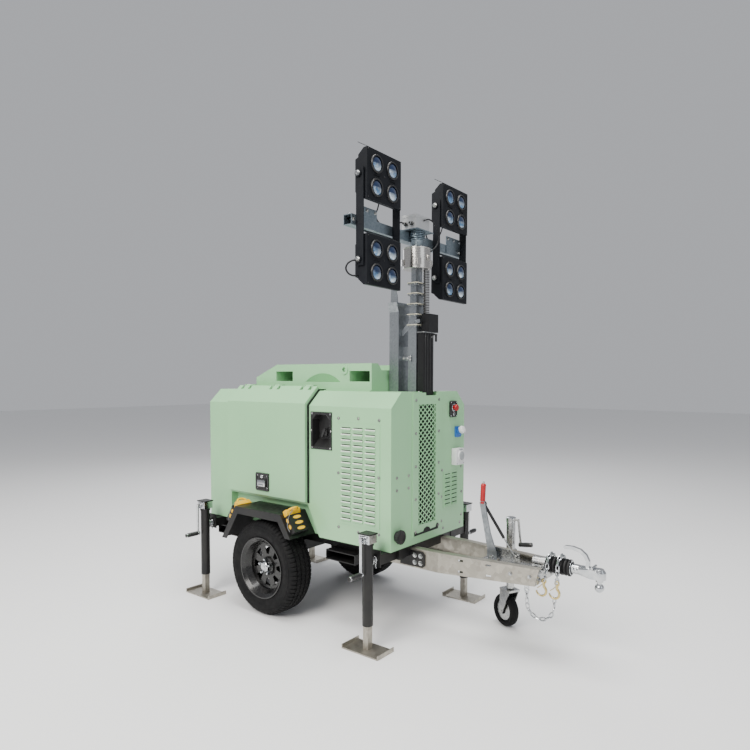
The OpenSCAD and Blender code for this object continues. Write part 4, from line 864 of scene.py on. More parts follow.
@dataclass
class Tyre:
    """A road tyre with its tread, made for one side."""

    side: str
    pitches: int = 66
    steps: int = 6
    groove_depth: float = 7.5
    groove_half: float = 3.2
    zigzag: float = 2.8
    side_height: float = 136.0

    def tread(self, radius: float, half: float) -> list[tuple[float, float, float, float]]:
        """Points across the tread.

        Args:
            radius: Outside radius of the tyre.
            half: Half its width.

        Returns:
            For each point its radius, its place across, its share of the zigzag and of a cross cut.
        """
        edge = half - 30
        shoulder = [(radius - 15.5, half - 13.5), (radius - 5, edge), (radius - 2, edge - 6)]
        rows = [(r, -w, 0.0, 1.0) for r, w in shoulder]
        for groove in (-53, -19, 19, 53):
            crown = 3 * (groove / edge) ** 2
            g = self.groove_half
            deep = radius - crown - self.groove_depth
            cuts = (0.45, 0.45) if abs(groove) < 30 else (1.0, 0.45) if groove < 0 else (0.45, 1.0)
            rows.append((radius - crown, groove - g - 1.2, 1.0, cuts[0]))
            rows.append((deep, groove - g, 1.0, 0.0))
            rows.append((deep, groove + g, 1.0, 0.0))
            rows.append((radius - crown, groove + g + 1.2, 1.0, cuts[1]))
        return rows + [(r, w, 0.0, 1.0) for r, w in reversed(shoulder)]

    def profile(self, radius: float, half: float) -> list[tuple[float, float, float, float]]:
        """Whole section from bead to bead, in the form that tread() gives."""
        bead = radius - self.side_height
        wall = [
            (0.5, 26), (12, 21), (26, 12.5), (30, 9.5), (34, 10.5), (56, 2.5), (68, 0.6), (78, 0), (92, 1.8),
            (94, 0.2), (98, 0.6), (100, 4.2), (110, 7.8),
        ]
        left = [(bead + r, w - half, 0.0, 0.0) for r, w in wall]
        right = [(bead + r, half - w, 0.0, 0.0) for r, w in reversed(wall)]
        inner = [(bead + 0.5, half - 40, 0.0, 0.0), (bead + 0.5, 40 - half, 0.0, 0.0)]
        return left + self.tread(radius, half) + right + inner

    def build(self) -> None:
        """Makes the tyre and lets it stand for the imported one."""
        node = f"tyre_{self.side}"
        low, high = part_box(node)
        radius = (high[2] - low[2]) / 2 * MM
        half = (high[1] - low[1]) / 2 * MM
        middle_y = (high[1] + low[1]) / 2 * MM
        rows = self.profile(radius, half)
        count = self.pitches * self.steps
        shape = Shape(f"road_tyre_{self.side}")
        place = Matrix.Translation((0, middle_y, radius)) @ Axis.Y.frame()
        rings = []
        for i in range(count):
            angle = 2 * math.pi * i / count
            phase = i % self.steps
            wave = self.zigzag * (1 if phase in (0, 1, 2) else -1) * (1 if phase in (0, 1, 3, 4) else 0.4)
            ring = []
            for r, w, share, cut in rows:
                if cut and phase == (0 if w < 0 else 3):
                    r -= cut * self.groove_depth
                ring.append(shape.mesh.verts.new(
                    place @ Vector((r * math.cos(angle), r * math.sin(angle), w + share * wave))
                ))
            rings.append(ring)
        for i in range(count):
            here, there = rings[i], rings[(i + 1) % count]
            for k in range(len(rows)):
                n = (k + 1) % len(rows)
                shape.mesh.faces.new([here[k], here[n], there[n], there[k]])
        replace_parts(shape.finish(TYRE_RUBBER, f"wheel_{self.side}"), node)


@dataclass
class WheelTrim:
    """Nuts, hub cap and valve on the outer face of one wheel."""

    side: str
    wheel_y: float = 479.5
    axle_z: float = 315.0
    nuts: int = 5
    nut_circle: float = 50.0
    hub_face: float = 38.0
    cap_radius: float = 35.5
    valve_at: float = 150.0

    def build(self) -> None:
        """Makes the trim on the wheel's outer face."""
        sign = SIDES[self.side]
        body = f"wheel_{self.side}"
        face = sign * (self.wheel_y + self.hub_face)
        nuts = Shape(f"wheel_nuts_{self.side}")
        for i in range(self.nuts):
            angle = 2 * math.pi * (i + 0.25) / self.nuts
            x, z = self.nut_circle * math.cos(angle), self.axle_z + self.nut_circle * math.sin(angle)
            profile = [(0, 0), (13, 0), (12, 10), (10.5, 20), (6, 25), (0, 26)]
            nuts.turned((x, face, z), Axis.Y, profile, 6, sign)
        nuts.finish(CHROME, body)
        r = self.cap_radius
        profile = [(0, 0.5), (r + 2, 0.5), (r + 2, 4), (r, 7), (r, 18), (r - 3, 23), (r - 10, 26.5)]
        profile += [(r - 14, 25), (9, 25), (8, 27.5), (0, 28)]
        cap = Shape(f"hub_cap_{self.side}")
        cap.turned((0, face, self.axle_z), Axis.Y, profile, 40, sign)
        cap.finish(CHROME, body)
        valve = Shape(f"tyre_valve_{self.side}")
        foot = (self.valve_at * 0.8, sign * (self.wheel_y + 66), self.axle_z - self.valve_at * 0.6)
        valve.turned(foot, Axis.Y, [(0, 0), (5, 0), (4.5, 8), (3, 10), (3, 24), (2, 26), (0, 26)], 12, sign)
        valve.finish(BLACK_PLASTIC, body)


@dataclass
class Chocks:
    """Wheel chocks in their holders on both slopes of the mudguards."""

    holder_y: float = 492.0
    holder_h: float = 46.0
    holder_w: float = 130.0
    half_w: float = 57.0
    front_middle: tuple[float, float] = (248.0, 626.5)
    rear_middle: tuple[float, float] = (-323.5, 580.5)
    front_slope: float = math.atan2(147, 92)
    rear_slope: float = math.atan2(239, 147)
    rear_shift: float = 42.0

    def places(self, sign: int) -> dict[str, Matrix]:
        """Frames on the front and the rear slope, X down the slope and Z out of it.

        Args:
            sign: -1 for the right side, 1 for the left.

        Returns:
            The frame of each holder by its place.
        """
        front = Matrix.Translation((self.front_middle[0], sign * self.holder_y, self.front_middle[1]))
        rear = Matrix.Translation((self.rear_middle[0], sign * self.holder_y, self.rear_middle[1]))
        return {
            "front": front @ Matrix.Rotation(self.front_slope, 4, "Y"),
            "rear": rear @ Matrix.Rotation(math.pi - self.rear_slope, 4, "Y")
            @ Matrix.Diagonal((1, 1, -1, 1)) @ Matrix.Translation((-self.rear_shift, 0, 0)),
        }

    def wedge(self) -> list[tuple[float, float]]:
        """Side view of a chock with its hollow face for the tyre."""
        steps = [i / 8 for i in range(9)]
        face = [(48 - 134 * t, 0.4 + 39.6 * t ** 1.5) for t in steps]
        return face + [(-95, 40), (-100, 38), (-102, 33), (-102, 7), (-100, 2), (-95, 0.4)]

    def build(self) -> None:
        """Makes the chocks, the yellow windows of their holders and the tethers."""
        wedges = Shape("wheel_chocks")
        windows = Shape("chock_windows")
        frames = Shape("chock_holder_rims")
        across = Matrix(((1, 0, 0, 0), (0, 0, 1, 0), (0, 1, 0, 0), (0, 0, 0, 1)))
        for side, sign in SIDES.items():
            for where, place in self.places(sign).items():
                edge = place @ Matrix.Translation((0, -self.half_w, 0)) @ across
                wedges.plate(self.wedge(), edge, 2 * self.half_w)
                arch = [(-96, y, 38 + 22 * math.sqrt(max(0.0, 1 - (y / 34) ** 2))) for y in range(-34, 35, 4)]
                wedges.sweep([place @ Vector(p) for p in arch], 7.5)
                for ridge in (-40, -20, 20, 40):
                    line = ((-98, 39), (-80, 36.5), (-66, 31))
                    wedges.sweep([place @ Vector((x, ridge, z)) for x, z in line], 3.0)
                for x in (-38, 0, 38):
                    top = place @ Matrix.Translation((x, 0, self.holder_h))
                    windows.plate(oval(11, 34), top, 0.8)
                    frames.rim(oval(14.5, 37.5), oval(11, 34), top, 2.0)
                flank = place @ Matrix.Translation((0, sign * self.holder_w / 2, self.holder_h / 2))
                for x in (-30, 12):
                    outwards = Matrix.Rotation(-sign * math.pi / 2, 4, "X")
                    face = flank @ Matrix.Translation((x, 0, 0)) @ outwards
                    windows.plate(oval(15, 12), face, 0.8)
                    frames.rim(oval(18, 15), oval(15, 12), face, 2.0)
                start = place @ Vector((-88, sign * 20, 60))
                end = place @ Vector((40, sign * (self.holder_w / 2 + 9), 12))
                low = (start + end) / 2 + Vector((0, sign * 34, -26))
                high = (start + low) / 2 + Vector((0, sign * 8, 12))
                knots = [tuple(knot) for knot in (start, high, low, end)]
                Cable(f"chock_tether_{where}_{side}", knots, "root", thick=4.0, finish=CORD_GREY).build()
        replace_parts(wedges.finish(YELLOW, "root"), "chocks")
        windows.finish(YELLOW, "root")
        frames.finish(BLACK_PLASTIC, "root")


# Lamps and mast


@dataclass
class Lamp:
    """Lens domes and bezels of one floodlight."""

    node: str
    side: int
    height: float
    face_x: float = 900.0
    out: float = 390.0
    lens_y: float = 72.45
    lens_z: float = 66.975
    lens_radius: float = 40.6
    dome_radius: float = 72.5
    dome_sink: float = 56.5

    def build(self) -> None:
        """Makes four domes with their bezel rings and the screws of the face."""
        glass = Shape(self.node + "_lenses")
        ring = Shape(self.node + "_bezels")
        screws = Shape(self.node + "_screws")
        r = self.lens_radius
        radii = [r * math.cos(math.pi / 2 * i / 9) for i in range(9)]
        dome = [(a, math.sqrt(self.dome_radius ** 2 - a * a) - self.dome_sink) for a in radii]
        dome.append((0, self.dome_radius - self.dome_sink))
        bezel = [(42, 7.5), (42.5, 9.6), (46, 10.4), (50, 9.8), (52.2, 7), (52.5, 0), (51, 0), (42, 7.5)]
        for dy in (-1, 1):
            for dz in (-1, 1):
                at = (self.face_x, self.side * self.out + dy * self.lens_y, self.height + dz * self.lens_z)
                glass.turned(at, Axis.X, dome, 48)
                ring.turned(at, Axis.X, bezel, 48)
                corner = (self.face_x, self.side * self.out + dy * 148, self.height + dz * 133)
                screws.screw(corner, Axis.X, 4.5)
        screws.screw((self.face_x, self.side * self.out, self.height + 12), Axis.X, 4.0)
        glass.finish(LENS, self.node)
        ring.finish(BLACK_PLASTIC, self.node)
        screws.finish(BLACK_PLASTIC, self.node)


@dataclass
class LampRig:
    """Bolts, cable glands and cables of the crossbar with its four lamps."""

    lamp_x: float = 850.0
    bar_x: float = 800.0
    bar_z: float = 2470.0
    lamp_y: float = 390.0
    upright: float = 168.5
    upper: float = 2728.0
    lower: float = 2248.0
    box_x: float = 846.0
    gland_z: float = 2546.3
    lid_z: float = 2602.3

    def build(self) -> None:
        """Makes everything on the turning head."""
        for end, sign in SIDES.items():
            for level, height in (("upper", self.upper), ("lower", self.lower)):
                Lamp(f"lamp_{level}_{end}", sign, height).build()
        self.bolts()
        self.glands()
        self.cables()

    def bolts(self) -> None:
        """Pivot bolts of the lamps and bolts of the clamping plates."""
        bolts = Shape("lamp_pivot_bolts")
        for end in SIDES.values():
            for out in (-1, 1):
                y = end * self.lamp_y + out * (self.upright + 12)
                for z in (self.upper, self.lower):
                    bolts.bolt((self.lamp_x, y, z), Axis.Y, 20, out)
            for y in (395, 470, 545):
                bolts.bolt((self.bar_x + 35, end * y, self.bar_z + 72), Axis.X, 13)
            bolts.bolt((self.bar_x + 35, end * 540, self.bar_z), Axis.X, 17)
            bolts.bolt((self.bar_x, end * 585, self.bar_z + 30), Axis.Z, 15)
            bolts.bolt((self.bar_x + 30, end * 585, self.bar_z), Axis.X, 15)
        for x in (self.box_x - 45, self.box_x + 45):
            for y in (-66, 66):
                bolts.screw((x, y, self.lid_z), Axis.Z, 5)
        bolts.finish(ZINC_PLATE, "head")

    def glands(self) -> None:
        """Black cable glands over the box's stubs."""
        glands = Shape("box_glands")
        profile = [(0, 0), (13.6, 0), (13.6, 8), (11, 9), (11, 20), (9.5, 26), (7, 30), (0, 30)]
        for sign in SIDES.values():
            for x in (-24, 24):
                glands.turned((self.box_x + x, sign * 74.6, self.gland_z), Axis.Y, profile, 12, sign)
        glands.finish(BLACK_PLASTIC, "head")

    def cables(self) -> None:
        """Cables from the box to the lamps and to the neck."""
        z = self.gland_z
        for end, sign in SIDES.items():
            rear = [(822, 100, z), (822, 126, z + 2), (818, 152, z - 12), (812, 172, z - 32),
                    (806, 196, z - 41), (802, 240, z - 41.5), (802, 290, z - 41.5)]
            Cable(f"bar_cable_{end}", [(x, sign * y, h) for x, y, h in rear], "head").build()
            top = [(802, 300, 2505), (800, 322, 2512), (796, 336, 2530), (798, 344, 2556), (812, 346, 2584),
                   (822, 346, 2612)]
            Cable(f"upper_lamp_cable_{end}", [(x, sign * y, h) for x, y, h in top], "head",
                  f"lamp_upper_{end}", 8.0).build()
            outer = [(846, 572, 2240), (836, 598, 2236), (818, 618, 2218), (808, 622, 2192), (812, 610, 2168),
                     (822, 586, 2156), (834, 552, 2158), (840, 520, 2166)]
            Cable(f"lower_lamp_cable_{end}", [(x, sign * y, h) for x, y, h in outer], "head",
                  f"lamp_lower_{end}", 10.0).build()
        arc = [(899, 10, 2575), (913, 16, 2581), (918, 52, 2588), (916, 105, 2576), (912, 150, 2548),
               (908, 174, 2512), (904, 170, 2468), (898, 148, 2432), (888, 114, 2404), (876, 80, 2385)]
        Cable("neck_cable", arc, "head", "mast_5").build()


@dataclass
class Mast:
    """Collar rings, curly cable and brackets of the telescopic mast."""

    mast_x: float = 855.0
    base_z: float = 1914.0
    rise: float = 66.5
    ring: tuple[float, float] = (84.0, 112.0)
    tube: tuple[float, float] = (64.0, 92.0)
    step: float = 5.0
    can_z: float = 2270.0
    coil_x: float = 921.0
    coil_y: float = 14.0
    coil_radius: float = 17.0
    wire: float = 3.6
    pitch: float = 10.4

    def build(self) -> None:
        """Makes everything on the mast."""
        for i in range(5):
            self.collar(i)
        self.curly_cable()
        self.brackets()
        self.can_trim()

    def collar(self, index: int) -> None:
        """Cream wear ring and its screws on one collar.

        Args:
            index: 0 for the fixed tube, then up the sections.
        """
        body = "root" if index == 0 else f"mast_{index}"
        top = self.base_z + self.rise * index
        place = Matrix.Translation((self.mast_x, 0, top + 0.2))
        hole = [size - self.step * (index + 1) + 2 for size in self.tube]
        rings = Shape(f"collar_ring_{index}")
        rings.rim(rounded(*self.ring, 12), rounded(*hole, 3), place, 4.5)
        rings.finish(CREAM, body)
        screws = Shape(f"collar_screws_{index}")
        for sign in (-1, 1):
            for y in (-30, 0, 30):
                screws.bolt((self.mast_x + sign * 35, y, top - 6), Axis.X, 7, sign)
            for x in (-18, 18):
                screws.bolt((self.mast_x + x, sign * 49, top - 6), Axis.Y, 7, sign)
        screws.finish(ZINC_PLATE, body)

    def curly_cable(self) -> None:
        """Coiled cable from the duct to the can, in five pieces that ride on no body."""
        bottom, top = 1986.0, self.can_z - 4
        share = (top - bottom) / 5
        for i in range(5):
            low = bottom + share * i
            count = round(share / self.pitch * 14)
            path = []
            for k in range(count + 1):
                height = low + share * k / count
                angle = 2 * math.pi * (height - bottom) / self.pitch
                path.append((self.coil_x + self.coil_radius * math.cos(angle),
                             self.coil_y + self.coil_radius * math.sin(angle), height))
            piece = Shape(f"curly_cable_{i}").sweep(path, self.wire, 8).finish(CABLE_GREY)
            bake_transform(piece)

    def brackets(self) -> None:
        """Gusset, clamp and the duct's rim, ridges and hook."""
        gusset = Shape("duct_gusset")
        outline = [(776, 1846), (776, 1884), (838, 1944), (912, 1950), (918, 1932), (862, 1912)]
        gusset.plate(outline, facing_y(0, -50, 0, 1), 4)
        gusset.band((882, -51, 1930), Axis.Y, 6, 12, 5)
        gusset.box((774, -52, 1690), (846, -34, 1716), 1.5)
        gusset.box((838, -56, 1682), (850, -30, 1724), 1.5)
        gusset.finish(GALVANISED, "root")
        bolts = Shape("mast_clamp_bolts")
        for x, z in ((790, 1703), (820, 1703), (844, 1694), (844, 1712)):
            bolts.bolt((x, -53 if x < 830 else -56, z), Axis.Y, 10, -1)
        for y in (-36, 36):
            bolts.screw((950, y, 1840), Axis.X, 5)
        for y in (-98, 98):
            bolts.screw((944, y, 1492), Axis.Z, 7)
        bolts.finish(ZINC_PLATE, "root")
        rim = Shape("duct_rim")
        rim.rim(rounded(60, 126, 6), rounded(46.5, 111.5, 2), Matrix.Translation((927.5, 0, 1864)), 5)
        rim.finish(ZINC_PLATE, "root")
        ridges = Shape("duct_ridges")
        for y in (-40, -14, 14, 40):
            ridges.box((949.5, y - 3, 1496), (953, y + 3, 1860), 1.2)
        ridges.box((928, 54, 1852), (960, 86, 1862), 2)
        ridges.box((950, 70, 1812), (958, 86, 1856), 2)
        ridges.finish(BLACK_PLASTIC, "root")

    def can_trim(self) -> None:
        """Rolled rims and the clamp of the head's can."""
        can = Shape("can_rims")
        for z in (self.can_z + 4, self.can_z + 129):
            can.band((self.mast_x, 0, z), Axis.Z, 86.5, 89.5, 7, 64)
        can.box((self.mast_x + 86, -14, self.can_z + 50), (self.mast_x + 93, 14, self.can_z + 84), 2)
        for z in (self.can_z + 58, self.can_z + 76):
            can.bolt((self.mast_x + 93, 0, z), Axis.X, 8)
        can.finish(STAINLESS, "mast_5")
        screws = Shape("can_screws")
        for i in range(8):
            angle = math.pi * (i + 0.5) / 4
            x, y = self.mast_x + 74 * math.cos(angle), 74 * math.sin(angle)
            screws.screw((x, y, self.can_z + 133), Axis.Z, 4.5)
        screws.finish(ZINC_PLATE, "mast_5")


# Canopy


@dataclass
class Canopy:
    """Seals, screws and louvre lips of the canopy, with black strips of painted shadow over the louvres and a
    black sheet of painted shadow in its low cable entry.
    """

    half_w: float = 410.0
    front_x: float = 970.0
    grille_x: float = 976.0
    eave_z: float = 1398.0
    roof_y: float = 313.0
    roof_z: float = 1492.0
    eave_rise: float = 0.4234
    roof_rise: float = 0.405
    louvre_rows: int = 17
    louvre_pitch: float = 35.0
    louvre_z: float = 692.0
    louvre_xs: tuple[float, float, float] = (620.9, 718.0, 815.1)

    def build(self) -> None:
        """Makes the trim of the whole canopy."""
        for side, sign in SIDES.items():
            self.seal(side, sign)
            self.louvres(side, sign)
            self.side_screws(side, sign)
        self.front()

    def seal(self, side: str, sign: int) -> None:
        """Black rubber seal between the door and the front section.

        Args:
            side: Name of the side.
            sign: -1 for the right side, 1 for the left.
        """
        thin, thick = 0.3, 11.0
        outer = [(self.half_w + thick, 762), (self.half_w + thick, self.eave_z + thick * self.eave_rise),
                 (self.roof_y + thick * self.roof_rise, self.roof_z + thick), (150, self.roof_z + thick)]
        inner = [(150, self.roof_z + thin), (self.roof_y + thin * self.roof_rise, self.roof_z + thin),
                 (self.half_w + thin, self.eave_z + thin * self.eave_rise), (self.half_w + thin, 762)]
        outline = [(sign * y, z) for y, z in outer + inner]
        Shape(f"door_seal_{side}").plate(outline, facing_x(289.2), 9).finish(SOFT_RUBBER, "root")

    def louvres(self, side: str, sign: int) -> None:
        """Black strips of painted shadow in each louvre's slot, and the rolled lips under them in a lighter
        mint that is a painted highlight.

        Args:
            side: Name of the side.
            sign: -1 for the right side, 1 for the left.
        """
        y = self.half_w + 3
        shadow_strips = Shape(f"louvre_shadow_strips_{side}")
        lips = Shape(f"louvre_lips_{side}")
        for row in range(self.louvre_rows):
            z = self.louvre_z + self.louvre_pitch * row
            for x in self.louvre_xs:
                # Black strip over each louvre: painted shadow in its slot, since the wall behind is solid.
                shadow_strips.box((x - 36, sign * (y - 0.5), z + 15.2), (x + 36, sign * (y + 1.2), z + 21.5), 0.5)
                lips.rod((x, sign * (y + 4.4), z + 11.6), Axis.X, 4.0, 77, 12)
        shadow_strips.finish(SHADOW_BLACK, "root")
        # Lighter mint on the lips: a painted highlight.
        lips.finish(HIGHLIGHT_MINT, "root")

    def side_screws(self, side: str, sign: int) -> None:
        """Screws of the louvre panel.

        Args:
            side: Name of the side.
            sign: -1 for the right side, 1 for the left.
        """
        screws = Shape(f"panel_screws_{side}")
        for x, z, out in ((556, 1326, 0), (718, 1330, 0), (880, 1326, 0), (556, 985, 3), (880, 985, 3),
                          (556, 644, 0), (718, 634, 0), (880, 644, 0)):
            screws.screw((x, sign * (self.half_w + out), z), Axis.Y, 10, sign)
        screws.finish(SCREW_STEEL, "root")

    def front(self) -> None:
        """Screws, black strips of painted shadow over the small front louvres, and a black sheet of painted
        shadow in the low cable entry of the front wall.
        """
        screws = Shape("front_screws")
        for row in range(5):
            for y in (-170, 85):
                screws.screw((self.grille_x, y, 625 + 204 * row), Axis.X, 10)
        for y, z in ((-354, 985), (-236, 985), (-354, 910), (-236, 910), (135, 975), (372, 975), (128, 800),
                     (380, 800), (128, 640), (380, 640), (150, 590), (360, 590)):
            screws.screw((self.front_x, y, z), Axis.X, 10)
        screws.finish(SCREW_STEEL, "root")
        shadow_strips = Shape("front_shadow_strips")
        lips = Shape("front_slot_lips")
        for row in range(8):
            z = 730 + 28 * row
            for y in (198, 282):
                # Black strip: painted shadow in the slot of each small louvre.
                shadow_strips.box((self.front_x + 2.5, y - 30, z + 13.2), (self.front_x + 4.2, y + 30, z + 18.6), 0.5)
                lips.rod((self.front_x + 7.4, y, z + 9.6), Axis.Y, 3.2, 64, 12)
        shadow_strips.finish(SHADOW_BLACK, "root")
        lips.finish(MINT, "root")
        # Black sheet of painted shadow in the low cable entry.
        entry_shadow = Shape("cable_entry_shadow")
        outline = [(-184, 602), (83, 602), (83, 640), (64, 640), (54, 618), (-8, 616), (-20, 632), (-48, 640),
                   (-76, 632), (-88, 616), (-150, 614), (-164, 628), (-184, 628)]
        entry_shadow.plate(outline, facing_x(self.grille_x), 0.8)
        entry_shadow.finish(SHADOW_BLACK, "root")
        grip = Shape("air_cap_grip")
        for i in range(18):
            angle = 2 * math.pi * i / 18
            y, z = -350 + 40 * math.cos(angle), 635 + 40 * math.sin(angle)
            grip.rod((self.front_x + 27, y, z), Axis.X, 3, 18, 8)
        grip.band((self.front_x + 37, -350, 635), Axis.X, 24, 30, 3)
        grip.finish(BLACK_PLASTIC, "root")


@dataclass
class DoorLatch:
    """Paddle latch with its lock on one door."""

    side: str
    face: float = 445.0
    middle_x: float = -124.0
    middle_z: float = 861.0

    def build(self) -> None:
        """Makes the paddle, the lock and the screws."""
        sign = SIDES[self.side]
        body = f"door_{self.side}"
        x, z = self.middle_x, self.middle_z
        frame = Shape(f"latch_frame_{self.side}")
        frame.rim(rounded(132, 121, 12), rounded(108, 96, 8), facing_y(x, sign * self.face, z, sign), 4)
        frame.finish(BLACK_PLASTIC, body)
        paddle = Shape(f"latch_paddle_{self.side}")
        paddle.box((x - 38, sign * 453.5, z - 30), (x + 38, sign * 459, z + 14), 2)
        paddle.box((x - 26, sign * 458, z - 26), (x + 26, sign * 464, z - 14), 2)
        lock = [(0, 0), (13, 0), (13, 7), (10, 9), (9, 7), (2, 7), (0, 7)]
        paddle.turned((x, sign * self.face, z + 38), Axis.Y, lock, 24, sign)
        for dx in (-48, 48):
            for dz in (-40, 44):
                paddle.screw((x + dx, sign * self.face, z + dz), Axis.Y, 5.5, sign)
        paddle.finish(CHROME, body)


@dataclass
class BatterySwitch:
    """Bolts, rim and pointer of the battery switch's cup."""

    face_y: float = -414.0
    middle_x: float = 407.0
    middle_z: float = 1240.0

    def build(self) -> None:
        """Makes the trim of the cup."""
        x, z = self.middle_x, self.middle_z
        bolts = Shape("switch_bolts")
        for dx, dz in ((-80, 108), (80, 108), (-86, 0), (86, 0), (-80, -108), (80, -108)):
            bolts.screw((x + dx, self.face_y, z + dz), Axis.Y, 6.5, -1)
        bolts.finish(ZINC_PLATE, "root")
        bead = Shape("switch_bead")
        corners = [(-78, -104), (78, -104), (78, 72), (44, 106), (-44, 106), (-78, 72)]
        path = [(x + dx, self.face_y - 0.5, z + dz) for dx, dz in corners]
        bead.sweep(path, 2.5, 8, closed=True)
        bead.finish(BLACK_PLASTIC, "root")
        knob = Shape("switch_pointer")
        place = Matrix.Translation((x, -379, z - 14)) @ Matrix.Rotation(math.radians(28), 4, "Y")
        outwards = place @ Axis.Y.frame() @ Matrix.Rotation(math.pi, 4, "X")
        knob.lathe([(0, 0), (24, 0), (24, 4), (20, 8), (0, 9)], outwards)
        knob.finish(BLACK_PLASTIC, "root")


@dataclass
class FrontControls:
    """Stop button and the two power sockets on the front wall."""

    wall_x: float = 970.0
    stop: tuple[float, float] = (259.0, 1373.0)
    blue: tuple[float, float] = (318.0, 1217.0)
    white: tuple[float, float] = (295.0, 1053.0)

    def build(self) -> None:
        """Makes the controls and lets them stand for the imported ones."""
        x = self.wall_x
        y, z = self.stop
        plate = Shape("stop_plate")
        plate.plate(rounded(84, 108, 14), facing_x(x, y, z), 8)
        plate.rim(rounded(84, 108, 14), rounded(70, 94, 9), facing_x(x + 8, y, z), 3)
        plate.finish(BLACK_PLASTIC, "root")
        metal = Shape("stop_plate_metal")
        for dy in (-33, 33):
            for dz in (-45, 45):
                metal.screw((x + 10.5, y + dy, z + dz), Axis.X, 4.5)
        metal.band((x + 11, y, z + 10), Axis.X, 16, 26, 8)
        metal.band((x + 11, y, z - 32), Axis.X, 5, 12, 8)
        metal.finish(CHROME, "root")
        button = Shape("stop_button")
        profile = [(0, 0), (13, 0), (13, 14), (21, 17), (22, 24), (20, 29), (14, 31), (6, 29.5), (0, 29)]
        button.turned((x + 9, y, z + 10), Axis.X, profile, 40)
        button.finish(RED, "root")
        self.sockets()

    def sockets(self) -> None:
        """The blue socket with its pale plug cap, and the white socket."""
        x = self.wall_x
        y, z = self.blue
        slant = Matrix.Translation((x, y, z)) @ Matrix.Rotation(math.radians(70), 4, "Y")
        blue = Shape("blue_socket")
        blue.plate(rounded(64, 72, 10), facing_x(x, y, z), 14)
        blue.lathe([(0, 8), (26, 8), (26, 24), (29, 26), (29, 32), (24, 33), (0, 33)], slant, 32)
        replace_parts(blue.finish(BLUE, "root"), "front_controls")
        cap = Shape("socket_cap")
        cap.lathe([(0, 32), (25, 32), (26, 36), (26, 50), (23, 56), (16, 58), (0, 58)], slant, 32)
        for i in range(12):
            turn = slant @ Matrix.Rotation(math.pi * i / 6, 4, "Z")
            cap.sweep([turn @ Vector((26, 0, h)) for h in (36, 43, 50)], 1.8, 6)
        y, z = self.white
        cap.box((x, y - 50, z - 56), (x + 44, y + 50, z + 56), 7)
        lid = [(0, 0), (38, 0), (38, 9), (35, 12), (30, 12), (29, 9), (0, 9)]
        cap.turned((x + 43, y, z + 6), Axis.X, lid, 40)
        cap.finish(WHITE, "root")
        cover = Shape("socket_cover")
        cover.turned((x + 52, y, z + 6), Axis.X, [(0, 0), (28.5, 0), (28.5, 3), (24, 6), (0, 7.5)], 40)
        cover.box((x + 42, y - 14, z + 42), (x + 54, y + 14, z + 52), 3)
        for dy in (-40, 40):
            cover.screw((x + 44, y + dy, z - 45), Axis.X, 5)
        cover.finish(SOCKET_GREY, "root")


# Undercarriage and drawbar


@dataclass
class Jack:
    """Plated gear head, crank and swivel fittings of one jack."""

    name: str
    x: float
    sign: int
    y: float = 539.0
    crank_y: float = 601.0
    swivel_z: float = 519.0

    def build(self) -> None:
        """Makes the fittings on the jack's tube."""
        body = f"jack_{self.name}"
        x, s = self.x, self.sign
        metal = Shape(f"jack_metal_{self.name}")
        shell = Matrix.Translation((x, s * self.y, 629))
        metal.rim(rounded(78.8, 70.8, 2), rounded(76.4, 68.4, 1.5), shell, 49.6)
        metal.box((x - 30, s * (self.y + 35), 634), (x + 30, s * (self.y + 37.5), 674), 1)
        for dx in (-24, 24):
            for z in (640, 668):
                metal.bolt((x + dx, s * (self.y + 37.5), z), Axis.Y, 7, s)
        metal.band((x, s * (self.y + 42), 654), Axis.Y, 12, 19, 20)
        metal.rod((x, s * (self.crank_y - 11), 650), Axis.Y, 9, 34)
        arm = [(x, s * self.crank_y, z) for z in (664, 650, 560, 470, 449)]
        metal.sweep(arm, 8.2, 14)
        metal.rod((x, s * (self.crank_y + 92), 456), Axis.Y, 13.8, 9)
        metal.band((x, s * (self.crank_y - 4), 456), Axis.Y, 8, 14.2, 14)
        metal.finish(CHROME, body)
        grip = Shape(f"crank_grip_{self.name}")
        rib = ((0, 14.4), (3, 15.8), (8, 15.8), (11, 14.4))
        ribs = [(13.4, 0)] + [(r, 8 + 13 * i + d) for i in range(6) for d, r in rib] + [(13.4, 88)]
        grip.turned((x, s * (self.crank_y + 0.5), 456), Axis.Y, ribs, 24, s)
        grip.finish(BLACK_PLASTIC, body)
        swivel = Shape(f"swivel_rings_{self.name}")
        for y, r in ((492, 28.5), (504, 27.6), (516, 28.5)):
            swivel.band((x, s * y, self.swivel_z), Axis.Y, 25.5, r, 7)
        swivel.rod((x, s * 504, self.swivel_z + 34), Axis.Z, 6, 34)
        ring = [(x + 9 * math.cos(a), s * 504 + 0.0, self.swivel_z + 59 + 9 * math.sin(a))
                for a in [math.pi * k / 8 for k in range(16)]]
        swivel.sweep(ring, 1.8, 8, closed=True)
        hang = [Vector((x + 29 + 3 * math.sin(k), s * 500, self.swivel_z + 22 - 11 * k)) for k in range(7)]
        Chain.links(swivel, hang, 15.0, 9.0, 1.5)
        swivel.finish(CHROME, body)


